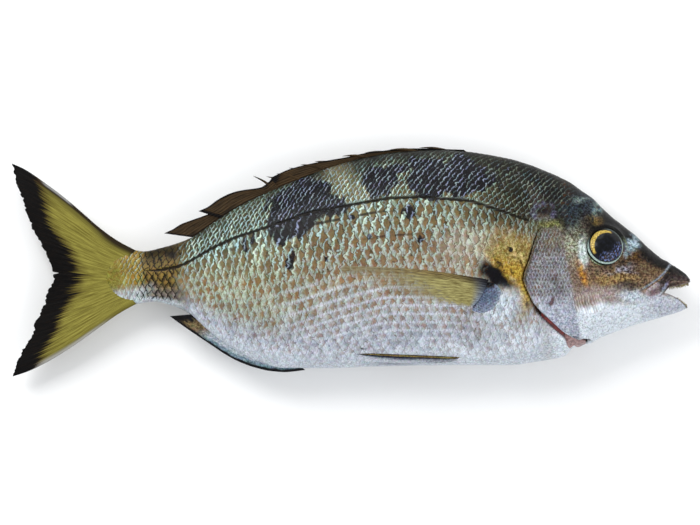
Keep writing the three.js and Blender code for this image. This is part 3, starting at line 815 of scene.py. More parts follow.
def skin_loft(name, x, sides, shape):
    """A closed length of skin whose sections shape() adjusts."""
    turn = np.linspace(0, 2 * math.pi, sides, endpoint=False)
    angle = turn - 0.2 * np.sin(2 * turn)  # more points on the broad flanks
    points = section(x[:, None], angle[None, :])
    rim = np.linalg.norm(np.diff(points, axis=1, append=points[:, :1]), axis=-1)
    travelled = np.concatenate([np.zeros((len(x), 1)), np.cumsum(rim, axis=1)], 1)
    # The distance from the widest line of the nearer flank, upwards.
    k = np.arange(sides)
    total, to_left = travelled[:, -1:], travelled[:, sides // 2 : sides // 2 + 1]
    travelled = travelled[:, :-1]
    lower = np.where(k < 3 * sides // 4, to_left - travelled, travelled - total)
    reach = np.where(k <= sides // 4, travelled, lower)
    outward = np.cross(np.roll(points, -1, 1) - np.roll(points, 1, 1), np.gradient(points, axis=0))
    outward /= np.linalg.norm(outward, axis=-1, keepdims=True) + 1e-9
    outward *= np.sign((outward * (points - [0, -5, 0])).sum(-1).mean())
    fields = skin_fields(points, reach)
    points = shape(skin_shape(points, outward, fields))
    rows = len(x)
    i, j = np.meshgrid(np.arange(rows - 1), k, indexing="ij")
    corners = np.stack([np.stack([i + di, j + dj], -1) for di, dj in ((0, 0), (1, 0), (1, 1), (0, 1))], 2)
    uv = corners / [rows - 1, sides] * 0.98 + 0.01
    # A fan of triangles closes each end.
    count, last, after = rows * sides, (rows - 1) * sides, (k + 1) % sides
    points = np.concatenate([points.reshape(-1, 3), [points[0].mean(0), points[-1].mean(0)]])
    for key, values in fields.items():
        fields[key] = np.concatenate([values.reshape(count, 3), values[0, :1], values[-1, :1]])
    start = np.stack([k, after, np.full(sides, count)], -1)
    finish = np.stack([after + last, k + last, np.full(sides, count + 1)], -1)
    faces = [*grid_faces(rows, sides, closed=True).tolist(), *start.tolist(), *finish.tolist()]
    uv = np.concatenate([uv.reshape(-1, 2), np.full((2 * sides * 3, 2), 0.005)])
    return add_piece(name, settle(points), faces, SKIN, ["body"], fields, uv)


def skin_material():
    """Wet skin. Its fields hold two colours, the scales' lattice, marks, tones, and a fin's film over it."""
    n = Material("wet_skin", Specular_IOR_Level=0.08, Coat_Weight=0.015, Coat_Roughness=0.12, Coat_IOR=1.34)
    place = n.millimetres()
    column, row, strength = n.parts(n.field("lattice"))
    blotch, lateral, dark_lines = n.parts(n.field("marks"))
    rim_width, glint_amount, bands = n.parts(n.field("tones"))
    ray, share, cover = n.parts(n.field("film"))
    wobble = (n.noise(place, 2.0, 3.0) - 0.5) * 1.1
    scales = n.add("Group", {"Along": column + wobble, "Row": row + wobble * 0.4}, node_tree=SCALES)
    depth, across, random = [Wire(n, socket) for socket in scales.outputs]
    chance, chance_hue, chance_glint = n.parts(random)

    grain = n.noise(place, 0.5, 3.0, 0.7)
    streak = n.noise(n.get("VectorMath", (place, (1.0, 0.3, 0.3)), operation="MULTIPLY"), 0.42, 2.0, 0.6)
    patchy = n.noise(place, 5.0, 3.0, 0.6)
    speckle = n.ramp(n.noise(place, 1.0, 3.0, 0.75), 0.42, 0.6)
    # A pale streak along each scale's free edge, fading towards the brown middle: partly the scales' silver,
    # partly painted highlight.
    width = rim_width + (chance - 0.5) * 0.22
    rim = n.ramp(depth, 0.02, 0.12) * n.ramp(depth - width, 0.09, -0.09)
    rim = rim * n.ramp(grain + streak * 0.9, 0.6, 1.15, 0.35, 1.0)
    rim = n.blend(strength, speckle, rim * n.ramp(depth / width, 0.45, 0.9, 1.0, 0.55))
    colour = n.mix(rim, n.field("middle", "Color"), n.field("edge", "Color"))
    # Some scales are rustier, and the net of their edges glints.
    rusty = n.ramp(chance_hue, 0.2, 0.9, 0.0, 0.32) * (strength - rim) * n.ramp(dark_lines, 0.68, 0.45)
    colour = n.mix(rusty, colour, "925f2c")
    middle_of_edge = n.ramp(abs(across - 0.3), 0.7, 0.35)
    lively = chance_glint * 0.7 + grain
    glint = n.ramp(depth, 0.07, 0.16) * n.ramp(depth, 0.42, 0.24) * middle_of_edge
    glint = glint * n.ramp(lively, 0.35, 0.95, 0.2, 1.0) * glint_amount * strength
    colour = n.mix(glint * 0.8, colour, n.mix(chance, "a8d0d8", "c4d6c0"))
    # Where the field bands is positive the rows end in pale bands, and where it is negative each second row
    # ends in dark dashes.
    between = abs(n.math("FRACT", row) - 0.5)
    band = n.ramp(between, 0.24, 0.02) * (bands * n.ramp(streak, 0.3, 0.6, 0.35, 1.0))
    colour = n.mix(n.math("MAXIMUM", band, 0.0) * 0.7, colour, "bcc1cc")
    pair = abs(n.math("FRACT", row * 0.5) - 0.5)
    dash = n.ramp(pair, 0.07, 0.03) * n.ramp(bands, -0.2, -0.7) * n.ramp(patchy + chance * 0.4, 0.5, 0.75)
    colour = n.mix(dash * 0.85, colour, "16120e")

    # Dark blotches fill whole scales, so their edge steps from scale to scale.
    uneven = chance * 0.5 + (patchy + grain) * 0.45
    blotched = n.ramp(blotch - uneven * 0.85, -0.1, 0.16)
    colour = n.mix(blotched * 0.97, colour, n.mix(n.ramp(grain, 0.4, 0.7), "07060a", "1c1a22"))
    sparkle = n.ramp(depth, 0.06, 0.16) * n.ramp(depth, 0.4, 0.24) * middle_of_edge
    sparkle = sparkle * n.ramp(lively, 0.5, 1.05, 0.0, 1.0) * (blotched * strength)
    colour = n.mix(sparkle * 0.72, colour, n.mix(chance_hue, "8f97b8", "9fb4b8"))
    # Painted shade in dark lines between the scales, at each free edge and under the scale in front, and the
    # beaded lateral line.
    line_end = 0.1 + dark_lines**3.0 * 0.1
    shade = n.math("MAXIMUM", n.ramp(depth - line_end, 0.0, -0.09), n.ramp(depth, 0.93, 1.0))
    colour = n.mix(shade * (dark_lines * 0.92), colour, "0a0704")
    beads = abs(n.math("SINE", column * math.pi)) * 0.4
    colour = n.mix(n.ramp(abs(lateral) - (0.4 + beads), 0.15, -0.2) * 0.95, colour, "120d07")

    # Thin dark lines of painted shade, as in creases, where there are no scales; uneven tone, and a shimmer
    # of hues.
    crease_shade = n.ramp(abs(n.noise(place, 1.7, 3.0, 0.6) - 0.5), 0.035, 0.0) * (1.0 - strength)
    colour = n.mix(crease_shade * 0.6, colour, "14100e")
    tone = chance * (strength * 0.15) + patchy * 0.45 + streak * 0.75
    tone = n.ramp(tone, 0.3, 1.0, n.blend(strength, 0.8, 0.55), n.blend(strength, 1.15, 1.35))
    colour = n.mix(1.0, colour, n.get("CombineColor", (tone, tone, tone)), "MULTIPLY")
    colour = n.mix(0.33, colour, n.noise(place, 1.6, output="Color"), "SOFT_LIGHT")

    # The film of a fin that lies on the skin.
    fibres = n.noise(n.vector(ray * 1.0, share * 0.6, 0.0), 0.5, 3.0, 0.65)
    film = n.mix(n.ramp(fibres, 0.34, 0.66), n.field("film_dark", "Color"), n.field("film_light", "Color"))
    see_through = n.ramp(cover + (fibres - 0.5) * 0.9, 0.15, 0.85)
    colour = n.mix(see_through * n.ramp(cover, 0.0, 0.1), colour, film)

    tilt = across * (chance - 0.5) * 0.7
    raised = n.bump((1.0 - depth + tilt) * strength * (1.0 - cover), 0.16, 0.7)
    normal = n.bump(grain + fibres * cover, 0.04, 0.6, Normal=raised)
    return n.surface(Base_Color=colour, Roughness=n.ramp(grain, 0.3, 0.7, 0.3, 0.46), Normal=normal)


SCALES = scale_group()
SKIN = skin_material()


def head_and_trunk():
    count = 392
    x = SNOUT_X - (SNOUT_X - TAIL_BASE_X) * (1 - np.linspace(0, 1, count)) ** 1.12

    def open_mouth(points):
        x, y, z = np.moveaxis(points, -1, 0)
        arch = 1.3 * (1 - np.clip((z / (along(HALF_WIDTH, x) + 0.01)) ** 2, 0, 1))
        roof = along([[130, -40], [136.2, -22], [138.4, -12.7]] + MOUTH_ROOF[4:], x) + arch
        points[..., 1] = np.where(x > 134, np.maximum(y, roof), y)
        return round_off(points, SNOUT_X, 2.2, -7.4)

    return skin_loft("skin", x, 250, open_mouth)


def lower_jaw():
    count = 60
    end = MOUTH_FLOOR[-1][0]
    x = end - (end - 131) * (1 - np.linspace(0, 1, count)) ** 1.4

    def close_tip(points):
        x, y, z = np.moveaxis(points, -1, 0)
        dip = 1.5 * (1 - np.clip((z / (along(HALF_WIDTH, x) + 0.01)) ** 2, 0, 1))
        points[..., 1] = np.minimum(y, along(MOUTH_FLOOR, x) - dip)
        points[..., 2] *= 0.995
        return round_off(points, end, 2.6, -19.6)

    return skin_loft("lower_jaw", x, 120, close_tip)


def shares(rows, columns):
    """Two grids of numbers from 0 to 1: along the rows, and across them."""
    return np.meshgrid(np.linspace(0, 1, rows), np.linspace(0, 1, columns), indexing="ij")


def between(first, second, t):
    """A grid of [x, y] between two lines of points, with a column at each share t of the way."""
    t = t[None, :, None]
    return first[:, None] * (1 - t) + second[:, None] * t


def ruled(first, second, rows, columns):
    """A grid of [x, y] between two lines, rows along them and columns from the first to the second."""
    return between(spaced(first, rows), spaced(second, rows), np.linspace(0, 1, columns))


def sheet_fields(flat, side):
    """The skin's fields at flat's [x, y] on one flank, so that a piece there matches the skin round it."""
    x, y = np.moveaxis(flat, -1, 0)
    points = np.stack([x, y, side * skin_depth(x, y)], -1)
    return skin_fields(points, unrolled(x, y), open_slit=False)


def painted_fields(flat, side, layers):
    """The skin's fields without scales, painted over in layers of middle colour, edge colour and amount."""
    fields = sheet_fields(flat, side)
    for inner, outer, amount in layers:
        fields["middle"] = paint(fields["middle"], inner, amount)
        fields["edge"] = paint(fields["edge"], outer, amount)
    fields["lattice"] = fields["lattice"] * [1, 1, 0]
    return fields


def skin_sheet(name, flat, side, top, bottom, material, nodes, fields=None):
    """A sheet that lies on one flank at flat's [x, y], between two levels above the skin."""
    x, y = np.moveaxis(flat, -1, 0)
    upper, lower = on_skin(x, y, side, top), on_skin(x, y, side, bottom)
    add_sheet(name, upper, lower, material, nodes, fields)


def gill_cover(name, side):
    rows, columns = 170, 90
    flat = ruled(COVER_FRONT, COVER_REAR, rows, columns)
    x, y = np.moveaxis(flat, -1, 0)
    s, t = shares(rows, columns)
    lip = 0.2 * np.exp(-(((t - 0.93) / 0.05) ** 2))
    ends = smooth(0, 0.07, s) * smooth(1, 0.95, s)
    seam = -0.2 * np.exp(-((line_distance(x, y, [[97, -15], *COVER_SEAM]) / 0.5) ** 2))
    raised = 0.55 * smooth(0, 0.16, t) + 0.5 * smooth(0.1, 0.6, t) + lip + seam
    top = -0.45 + raised * ends - 0.6 * smooth(0.97, 1, t)
    fields = sheet_fields(flat, side)
    column, row, strength = np.moveaxis(fields["lattice"], -1, 0)
    top = top + 0.09 * (scale_relief(column, row) - 0.5) * strength
    seeded = np.stack([x, y, np.full(x.shape, side * FLANKS_APART)], -1)
    top = top + 0.12 * noise(seeded, 3.5, 7) + 0.06 * noise(seeded, 1.2, 8)
    skin_sheet(name, flat, side, top, np.minimum(top - 0.25, -0.7), SKIN, [name], fields)


def flesh_material(name, text, deep, roughness):
    """Wet flesh, mottled between its colour and a deeper one."""
    n = Material(name, Coat_Weight=0.5, Coat_Roughness=0.1, Subsurface_Weight=0.15)
    n.surface(Subsurface_Radius=(1.0, 0.4, 0.3), Subsurface_Scale=0.8 * MM)
    place = n.millimetres()
    mottle = n.ramp(n.noise(place, 1.4, 3.0, 0.6), 0.35, 0.7)
    return n.surface(
        Base_Color=n.mix(mottle, deep, text),
        Roughness=n.ramp(mottle, 0.0, 1.0, roughness, roughness + 0.15),
        Normal=n.bump(n.noise(place, 0.6), 0.08, 0.6),
    )


GILL = flesh_material("gill_flesh", "7a1c16", "3c0806", 0.28)
MEMBRANE = flesh_material("gill_membrane", "a07a78", "5c3230", 0.3)


def gills(name, side):
    """Red filaments behind the cover's lower edge."""
    inner = [[84, -19.5], [88, -23.5], [92, -26.8], [96, -29.6], [99.5, -31.4]]
    outer = [[83.8, -23.8], [87.6, -27.9], [90.8, -31], [94, -33], [97.5, -34.4]]
    s, t = shares(170, 12)
    pleats = 0.35 * np.abs(np.sin(s * math.pi * 26 + t)) ** 0.7
    ends = smooth(0, 0.1, s) * smooth(1, 0.85, s) * smooth(1, 0.75, t)
    top = -1.2 + (1.0 + pleats) * ends
    skin_sheet(name, ruled(inner, outer, 170, 12), side, top, top - 0.9, GILL, [name])


def gill_membrane(name, side):
    """The pinkish membrane below the gills."""
    inner = [[93.5, -29.6], [97, -31.8], [100, -33], [103.4, -33.8]]
    outer = [[94.2, -33], [96.4, -38], [98.4, -36.2], [100.2, -37], [103.6, -35.8]]
    s, t = shares(60, 24)
    top = 0.45 + 0.3 * np.sin(s * 9 + 2 * t) * t - 0.5 * smooth(0.85, 1, t) - 0.8 * smooth(0.15, 0, s)
    skin_sheet(name, ruled(inner, outer, 60, 24), side, top, top - 0.5, MEMBRANE, [])


def upper_jaw():
    """The upper lip bone of both sides, from its broad end over the mouth's corner to the snout's tip."""
    rows, columns = 110, 30
    flat = ruled(MOUTH_ROOF, JAW_TOP, rows, columns)
    s, t = shares(rows, columns)
    sunk = smooth(0.62, 0.5, s)
    crown = 0.75 * np.sqrt(np.clip(1 - (2 * t - 1) ** 4, 0, 1))
    lip = 0.35 * np.exp(-(((t - 0.12) / 0.1) ** 2)) * smooth(0.2, 0.45, s)
    fold = -0.3 * np.exp(-(((t - 0.42) / 0.06) ** 2)) * smooth(0.15, 0.3, s) * smooth(0.95, 0.7, s)
    end = np.sqrt(smooth(0, 0.1, s))
    top = -0.45 + crown * (0.35 + 0.65 * np.maximum(sunk, smooth(1, 0.5, t))) * end + lip + fold
    top = top + 0.08 * noise(flat, 1.2, 11)
    bottom = np.minimum(top - 0.3, -0.6)
    blur = noise(flat, 2.0, 12)
    lines = smooth(0.2, 0.6, noise(np.stack([14 * t, 3 * s], -1), 1.0, 22))
    groove = smooth(0.3, 0.1, np.abs(t - 0.45)) * smooth(0.06, 0.14, s) * smooth(0.36, 0.26, s)
    layers = (
        ("2c2424", "544a48", 1),
        ("0e0d0d", "1e1c1c", smooth(0.45, 0.8, t + 0.1 * blur) * smooth(0.3, 0.6, s)),
        ("4c3c34", "7a685c", smooth(0.42, 0.2, t) * smooth(0.4, 0.7, s)),
        ("1c1614", "2c2422", 0.7 * lines),
        ("94868a", "b8acb2", smooth(0.4, 0.2, s + 0.05 * blur)),
        ("5a4448", "7c666a", 0.8 * groove),
        ("a4acb8", "d2dae4", 0.8 * smooth(0.16, 0.04, np.abs(t - 0.1)) * smooth(0.5, 0.35, s)),
        ("6e7086", "a0a4bc", 0.8 * spot(s, t, 0.46, 0.3, 0.08, 0.14)),
    )
    for label, side in SIDES.items():
        fields = painted_fields(flat, side, layers)
        skin_sheet(f"upper_jaw_{label}", flat, side, top, bottom, SKIN, ["upper_jaw"], fields)


def cone_chain(pieces, sides=8, rings=6):
    """Many slightly bent cones as one mesh, from (root, tip, radius) triples of points in millimetres."""
    points, faces = [], []
    for root, tip, radius in pieces:
        root, tip = np.array(root, float), np.array(tip, float)
        ahead = tip - root
        across = np.cross(ahead, [0.3, 0.2, 1.0])
        across /= np.linalg.norm(across)
        other = np.cross(ahead, across)
        other /= np.linalg.norm(other)
        start = len(points)
        for ring in range(rings):
            t = ring / rings
            size = radius * (1 - t) ** 0.7
            for k in range(sides):
                turn = 2 * math.pi * k / sides
                bend = 0.06 * np.linalg.norm(ahead) * math.sin(math.pi * t)
                point = root + ahead * t + across * (size * math.cos(turn) + bend)
                points.append(point + other * size * math.sin(turn))
        points.append(tip)
        faces += [[start + k for k in range(sides)][::-1]]
        for ring in range(rings - 1):
            for k in range(sides):
                a, b = start + ring * sides + k, start + ring * sides + (k + 1) % sides
                faces.append([a, b, b + sides, a + sides])
        last = start + (rings - 1) * sides
        faces += [[last + k, last + (k + 1) % sides, len(points) - 1] for k in range(sides)]
    return settle(np.array(points)), faces


def tooth_material():
    n = Material("teeth", Coat_Weight=0.4, Coat_Roughness=0.15)
    place = n.millimetres()
    stain = n.ramp(n.noise(place, 0.8), 0.35, 0.65)
    return n.surface(
        Base_Color=n.mix(stain, "4a3c1c", "9a8a54"),
        Roughness=n.ramp(stain, 0.0, 1.0, 0.3, 0.45),
        Normal=n.bump(n.noise(place, 0.3), 0.04, 0.5),
    )


TEETH = tooth_material()


def tooth_row(name, line, low_x, count, inset, direction, length, slot_node):
    """Small pointed teeth along one jaw's edge, on both sides and round the front."""
    rng = np.random.default_rng(3 if direction < 0 else 4)
    teeth = []
    high_x = line[-1][0] - 0.7
    for side in (1, -1):
        for k in range(count):
            x = low_x + (high_x - low_x) * k / (count - 1)
            y = float(along(line, x))
            tip_keep = math.sqrt(max(0.05, 1 - max(0, (x - high_x + 1.6) / 2.4) ** 2))
            z = side * (float(skin_depth(np.array(x), np.array(y))) * tip_keep - inset)
            size = length * (0.75 + 0.5 * rng.random())
            root = [x, y - direction * 0.5, z]
            tip = [x + 0.25 * rng.random(), y + direction * size, z + side * 0.1]
            teeth.append((root, tip, 0.34 + 0.1 * rng.random()))
    for k in range(5):
        z = (k - 2) * 0.75
        root = [line[-1][0] - 0.5 - 0.12 * z * z, line[-1][1] - direction * 0.5, z]
        size = length * (0.9 + 0.4 * rng.random())
        teeth.append((root, [root[0] + 0.25, root[1] + direction * (size + 0.5), z], 0.4))
    points, faces = cone_chain(teeth)
    add_piece(name, points, faces, TEETH, [slot_node])


def eye_point(radius, turn, height, side):
    """A point round the eye's axis: its distance from the axis, its turn and its height along it."""
    local = np.broadcast_arrays(radius * np.cos(turn), radius * np.sin(turn), height)
    local = np.stack(local, -1).astype(float)
    c, s = math.cos(EYE["lean_forward"]), math.sin(EYE["lean_forward"])
    local = local @ np.array([[c, 0, s], [0, 1, 0], [-s, 0, c]]).T
    c, s = math.cos(-EYE["lean_up"]), math.sin(-EYE["lean_up"])
    local = local @ np.array([[1, 0, 0], [0, c, -s], [0, s, c]]).T
    return (local + [EYE["x"], EYE["y"], EYE["z"]]) * [1, 1, side]


def eye_material():
    n = Material("eye", Specular_IOR_Level=0.1, Roughness=0.3, Coat_Weight=0.2, Coat_Roughness=0.03)
    n.surface(Coat_IOR=1.36)
    across, up, reach = n.parts(n.field("iris"))
    place = n.vector(across, up, 0.0)
    streaks = n.noise(place, 0.5, 3.0, 0.7)
    angle = n.math("ARCTAN2", up, across)
    colour = n.mix(n.ramp(n.noise(place, 1.6), 0.4, 0.7), "060709", "12141c")
    # A golden crescent above and behind the pupil.
    behind = n.math("COSINE", angle - 2.5)
    inner = reach + (streaks - 0.5) * 0.3 + n.ramp(behind, 1.0, 0.2, 0.0, -0.7)
    crescent = n.ramp(inner, 4.75, 5.1) * n.ramp(reach, 6.75, 6.35) * n.ramp(behind, 0.15, 0.35)
    colour = n.mix(crescent, colour, n.mix(n.ramp(streaks, 0.35, 0.65), "7a5c1a", "d4ba5c"))
    # Bluish flecks of painted reflection below and in front of it, with brown flecks among them.
    ahead = n.math("COSINE", angle - -0.9)
    reflection_area = n.ramp(reach, 2.6, 4.6) * n.ramp(reach, 7.2, 6.4) * n.ramp(ahead, 0.2, 0.75)
    flecks = n.ramp(n.noise(n.vector(across, up * 0.6, 3.0), 0.6, 3.0, 0.75), 0.5, 0.6)
    colour = n.mix(reflection_area * flecks, colour, "6a7ab0")
    colour = n.mix(reflection_area * n.ramp(n.noise(place, 0.9), 0.56, 0.66), colour, "4c3312")
    # The pale ring round the eyeball's edge, dark above.
    pale = n.ramp(reach, 7.0, 7.35) * n.ramp(reach, 7.85, 7.6)
    lit = n.mix(n.ramp(streaks, 0.3, 0.7), "6e867c", "c8dcd6")
    colour = n.mix(pale * (0.2 + n.ramp(up, 5.5, -1.0) * 0.8), colour, lit)
    return n.surface(Base_Color=n.mix(n.ramp(reach, 7.75, 8.0), colour, "08080a"))


EYEBALL = eye_material()


def eye(name, side):
    """A slightly domed eyeball whose front carries the iris and pupil."""
    rings, turns = 48, 96
    share = np.linspace(0.004, 1, rings)[:, None]
    turn = np.linspace(0, 2 * math.pi, turns, endpoint=False)[None, :]
    radius = EYE["radius"] * np.sin(share * math.pi / 2)
    height = EYE["depth"] * np.cos(share * math.pi / 2) ** 0.9 + 0.35 * np.exp(-((radius / 5.2) ** 6))
    top = eye_point(radius, turn, height, side)
    bottom = eye_point(radius, turn, -0.5 * height - 0.5, side)
    points = np.concatenate([top, bottom[::-1]], 0)
    rows = 2 * rings
    flat = np.concatenate([radius, radius[::-1]], 0)
    flat = flat * 8.4 / EYE["radius"]
    field = np.stack(np.broadcast_arrays(flat * np.cos(turn), flat * np.sin(turn), flat), -1)
    faces = [*grid_faces(rows, turns, closed=True).tolist(), list(range(turns))]
    faces.append(list(range((rows - 1) * turns, rows * turns)))
    fields = {"iris": field.reshape(-1, 3)}
    add_piece(name, settle(points.reshape(-1, 3)), faces, EYEBALL, [name], fields)


def lid_material():
    n = Material("eye_rim", Specular_IOR_Level=0.15, Coat_Weight=0.05, Coat_Roughness=0.1, Roughness=0.4)
    flecks = n.noise(n.millimetres(), 0.8, 3.0, 0.7)
    low = n.ramp(n.field("around", "Fac"), 0.3, -0.5) * n.ramp(flecks, 0.3, 0.5, 0.35, 1.0)
    light = n.mix(n.ramp(flecks, 0.4, 0.65), "5c6838", "a4b49c")
    dark = n.mix(n.ramp(flecks, 0.4, 0.7), "070708", "1e1f1a")
    return n.surface(Base_Color=n.mix(low, dark, light), Normal=n.bump(flecks, 0.08, 0.6))


LID = lid_material()


def eye_rim(name, side):
    """The fold of skin round the eyeball: a ring, thicker above than below."""
    turns, sides = 120, 14
    turn = np.linspace(0, 2 * math.pi, turns, endpoint=False)[:, None]
    angle = np.linspace(0, 2 * math.pi, sides, endpoint=False)[None, :]
    wide = 0.75 + 0.45 * smooth(-0.4, 0.9, np.sin(turn + 0.25))
    radius = EYE["radius"] - 0.05 + 0.5 * wide + wide * np.cos(angle) + 0.05 * np.sin(7 * turn)
    height = 1.05 + 0.12 * np.sin(2 * turn + 1) + 0.75 * np.sin(angle)
    points = eye_point(radius, turn, height, side)
    faces = grid_faces(turns, sides, closed=True)
    last = np.arange(sides) + (turns - 1) * sides
    first = np.arange(sides)
    joint = np.stack([last, first, np.roll(first, -1), np.roll(last, -1)], -1)
    around = np.broadcast_to(np.sin(turn - 0.35), (turns, sides)).reshape(-1)
    all_faces = np.concatenate([faces, joint])
    add_piece(name, settle(points.reshape(-1, 3)), all_faces, LID, [], {"around": around})


def fin_material(name, deep, light, dark, margin):
    """A fin's membrane and rays. The field ray holds: ray number, place along it, distance to the edge."""
    n = Material(name, Specular_IOR_Level=0.06, Coat_Weight=0.01, Coat_Roughness=0.25)
    ray, share, to_edge = n.parts(n.field("ray"))
    broad, shadow, _ = n.parts(n.field("shade"))
    streak = n.noise(n.vector(ray * 2.0, share * 0.5, 0.0), 0.6, 4.0, 0.7)
    fine = n.noise(n.vector(ray * 5.0, share * 1.4, 2.0), 0.6, 3.0, 0.7)
    wide = n.noise(n.vector(ray * 0.3, share * 0.5, 4.0), 1.0)
    colour = n.mix(n.ramp(streak, 0.32, 0.68), deep, light)
    colour = n.mix(n.ramp(fine, 0.45, 0.75, 0.0, 0.6), colour, deep)
    colour = n.mix(n.ramp(fine, 0.42, 0.28, 0.0, 0.35), colour, light)
    colour = n.mix(n.ramp(shadow + (streak - 0.5) * 0.8, 0.1, 0.95), colour, dark)
    colour = n.mix(broad, colour, n.mix(streak, "6c7078", "c4c2bc"))
    # A jagged margin, brown and then black.
    jagged = n.noise(n.vector(ray * 3.0, 0.0, 5.0), 0.8, 4.0, 0.75)
    reach = margin + (jagged - 0.5 + (wide - 0.5) * 0.5) * (margin * 2.1)
    brown = n.ramp(reach - to_edge, -0.55 * margin, 0.05 * margin)
    colour = n.mix(brown * n.ramp(streak, 0.3, 0.6, 0.45, 0.9), colour, "33230f")
    black = n.ramp(reach - to_edge, -0.1 * margin, 0.1 * margin)
    colour = n.mix(black, colour, n.mix(n.ramp(fine, 0.5, 0.75), "060505", "1c130d"))
    return n.surface(
        Base_Color=colour,
        Roughness=n.ramp(fine, 0.3, 0.7, 0.45, 0.6),
        Normal=n.bump(fine + streak, 0.09, 0.6),
    )


TAIL_FIN = fin_material("tail_fin", "5c5420", "928b40", "241c0e", 11.5)
DARK_FIN = fin_material("dark_fin", "120d08", "4c3b25", "060505", 0.9)


def ray_fields(number, share, to_edge, grey, dark):
    """What a fin's material needs: ray, place along it, distance to the edge, and how grey and dark it is."""
    dark = np.clip(dark, 0, 1)
    return {"ray": np.stack([number, share, to_edge], -1), "shade": np.stack([grey, dark, 0 * dark], -1)}


def tail_fin():
    """The forked tail, whose rays fan out from the tail's root."""
    rows, columns, rays = 460, 90, 34
    root = spaced(TAIL_ROOT, rows)
    margin = spaced(TAIL_EDGE, rows)
    ray = np.linspace(0, rays, rows)
    fray = 0.5 * noise(ray[:, None], 0.3, 13) + 0.4 * noise(ray[:, None], 1.1, 14) - 0.3
    tear = 2.2 * np.exp(-(((ray - 17.4) / 0.12) ** 2))
    margin[:, 0] -= (fray - tear) * smooth(0, 1, np.minimum(ray, rays - ray))
    t = np.linspace(0, 1, columns) ** 0.9
    flat = between(root, margin, t)
    for line, weight in ((TAIL_TOP, 1 - ray / rays), (TAIL_BOTTOM, ray / rays)):
        curve = spaced(line, 200)
        bent = np.stack([np.interp(t, np.linspace(0, 1, 200), column) for column in curve.T], 1)
        straight = curve[0] * (1 - t)[:, None] + curve[-1] * t[:, None]
        flat += (bent - straight)[None] * (np.clip(2 * weight - 1, 0, 1) ** 1.3)[:, None, None]
    number, share = np.meshgrid(ray, t, indexing="ij")
    to_edge = (1 - share) * np.linalg.norm(margin - root, axis=1)[:, None]
    across = np.minimum(number, rays - number)
    half = (1.7 * (1 - share) ** 1.2 + 0.28) * (0.75 + 0.25 * smooth(0, 2, across))
    half += 0.1 * np.abs(np.sin(number * math.pi)) ** 2 * smooth(0, 0.15, share) * smooth(1, 0.7, share)
    half += 0.05 * np.abs(np.sin(number * math.pi * 3)) * smooth(0.3, 0.6, share)
    joints = 0.02 * np.sin(to_edge * 3.2) * smooth(0.3, 0.5, share)
    wave = 0.9 * np.sin(flat[..., 1] / 11 + 0.4) * share**2 + 0.5 * noise(flat, 14, 15) * share
    grey = 0.7 * smooth(1.3, 0.2, rays - number) * smooth(0.15, 0.4, share)
    grey = grey + 0.6 * smooth(0.9, 0.4, number) * smooth(0.5, 0.56, share) * smooth(0.8, 0.74, share)
    dark = 0.9 * smooth(1.3, 0.3, number) + 0.6 * smooth(5, 0, number) + 0.5 * smooth(3, 0, rays - number)
    dark = dark + 0.5 * smooth(0.4, 0.1, share) * smooth(8, 0, number)
    fields = ray_fields(number, share * 4, to_edge, grey, dark)
    middle, half = wave + joints / 2, half + joints / 2  # the joints are on the top only
    add_upright_sheet("tail_fin", flat, middle, half, TAIL_FIN, ["caudal_fin"], fields)


def middle_fin(name, base, edge, rays, level):
    """A folded part of the back fin, from a line on the body to its outer edge, with rays that lie back."""
    rows, columns = 60 + rays * 8, 40
    flat = ruled(base, edge, rows, columns)
    s, t = shares(rows, columns)
    number = 7.0 * t + 1.5 * s
    length = np.linalg.norm(flat[:, -1] - flat[:, 0], axis=-1)[:, None]
    half = 0.8 * (1 - t) + 0.22 * t + 0.2 * np.abs(np.sin(number * math.pi)) ** 2 * smooth(1, 0.85, t)
    middle = level + 0.25 * noise(flat, 6, 16) * t
    dark = 0.7 * (1 - np.abs(np.sin(number * math.pi))) ** 3 + 0.6 * smooth(0.4, 0, t)
    to_edge = np.minimum((1 - t) * length, (1 - s) * 14)
    fields = ray_fields(number * 1.2, s * rays * 0.4, to_edge, 0 * t, dark)
    add_upright_sheet(name, flat, middle, half, DARK_FIN, ["dorsal_fin"], fields)


def dorsal_fin():
    """The folded back fin: spines that lie back over each other, and two soft lobes behind them."""
    for part, (base, edge, rays, level) in DORSAL_PARTS.items():
        middle_fin(f"dorsal_fin_{part}", base, edge, rays, level)
    sides, rings = 10, 12
    spines = []
    for k, tip_x in enumerate([30, 17, 6, -4, -16, -22.2, -27.4, -32.8, -37.4, -43.2]):
        root_x = tip_x + 13 - 0.35 * k
        z = 0.45 * (1 if k % 2 else -1)
        root = [root_x, float(along(BACK, root_x)) - 0.6, 0.6 * z]
        spines.append((root, [tip_x, float(along(SPINE_TIPS, tip_x)), z], 0.85))
    points, faces = cone_chain(spines, sides, rings)
    number = np.repeat(np.arange(len(spines)), sides * rings + 1) + 0.5
    share = np.tile(np.append(np.repeat(np.arange(rings) / rings, sides), 1.0), len(spines))
    fields = ray_fields(number * 3.7, share, (1 - share) * 12 + 0.8, 0 * share, 0.35 + 0 * share)
    add_piece("dorsal_spines", points, faces, DARK_FIN, ["dorsal_fin"], fields)


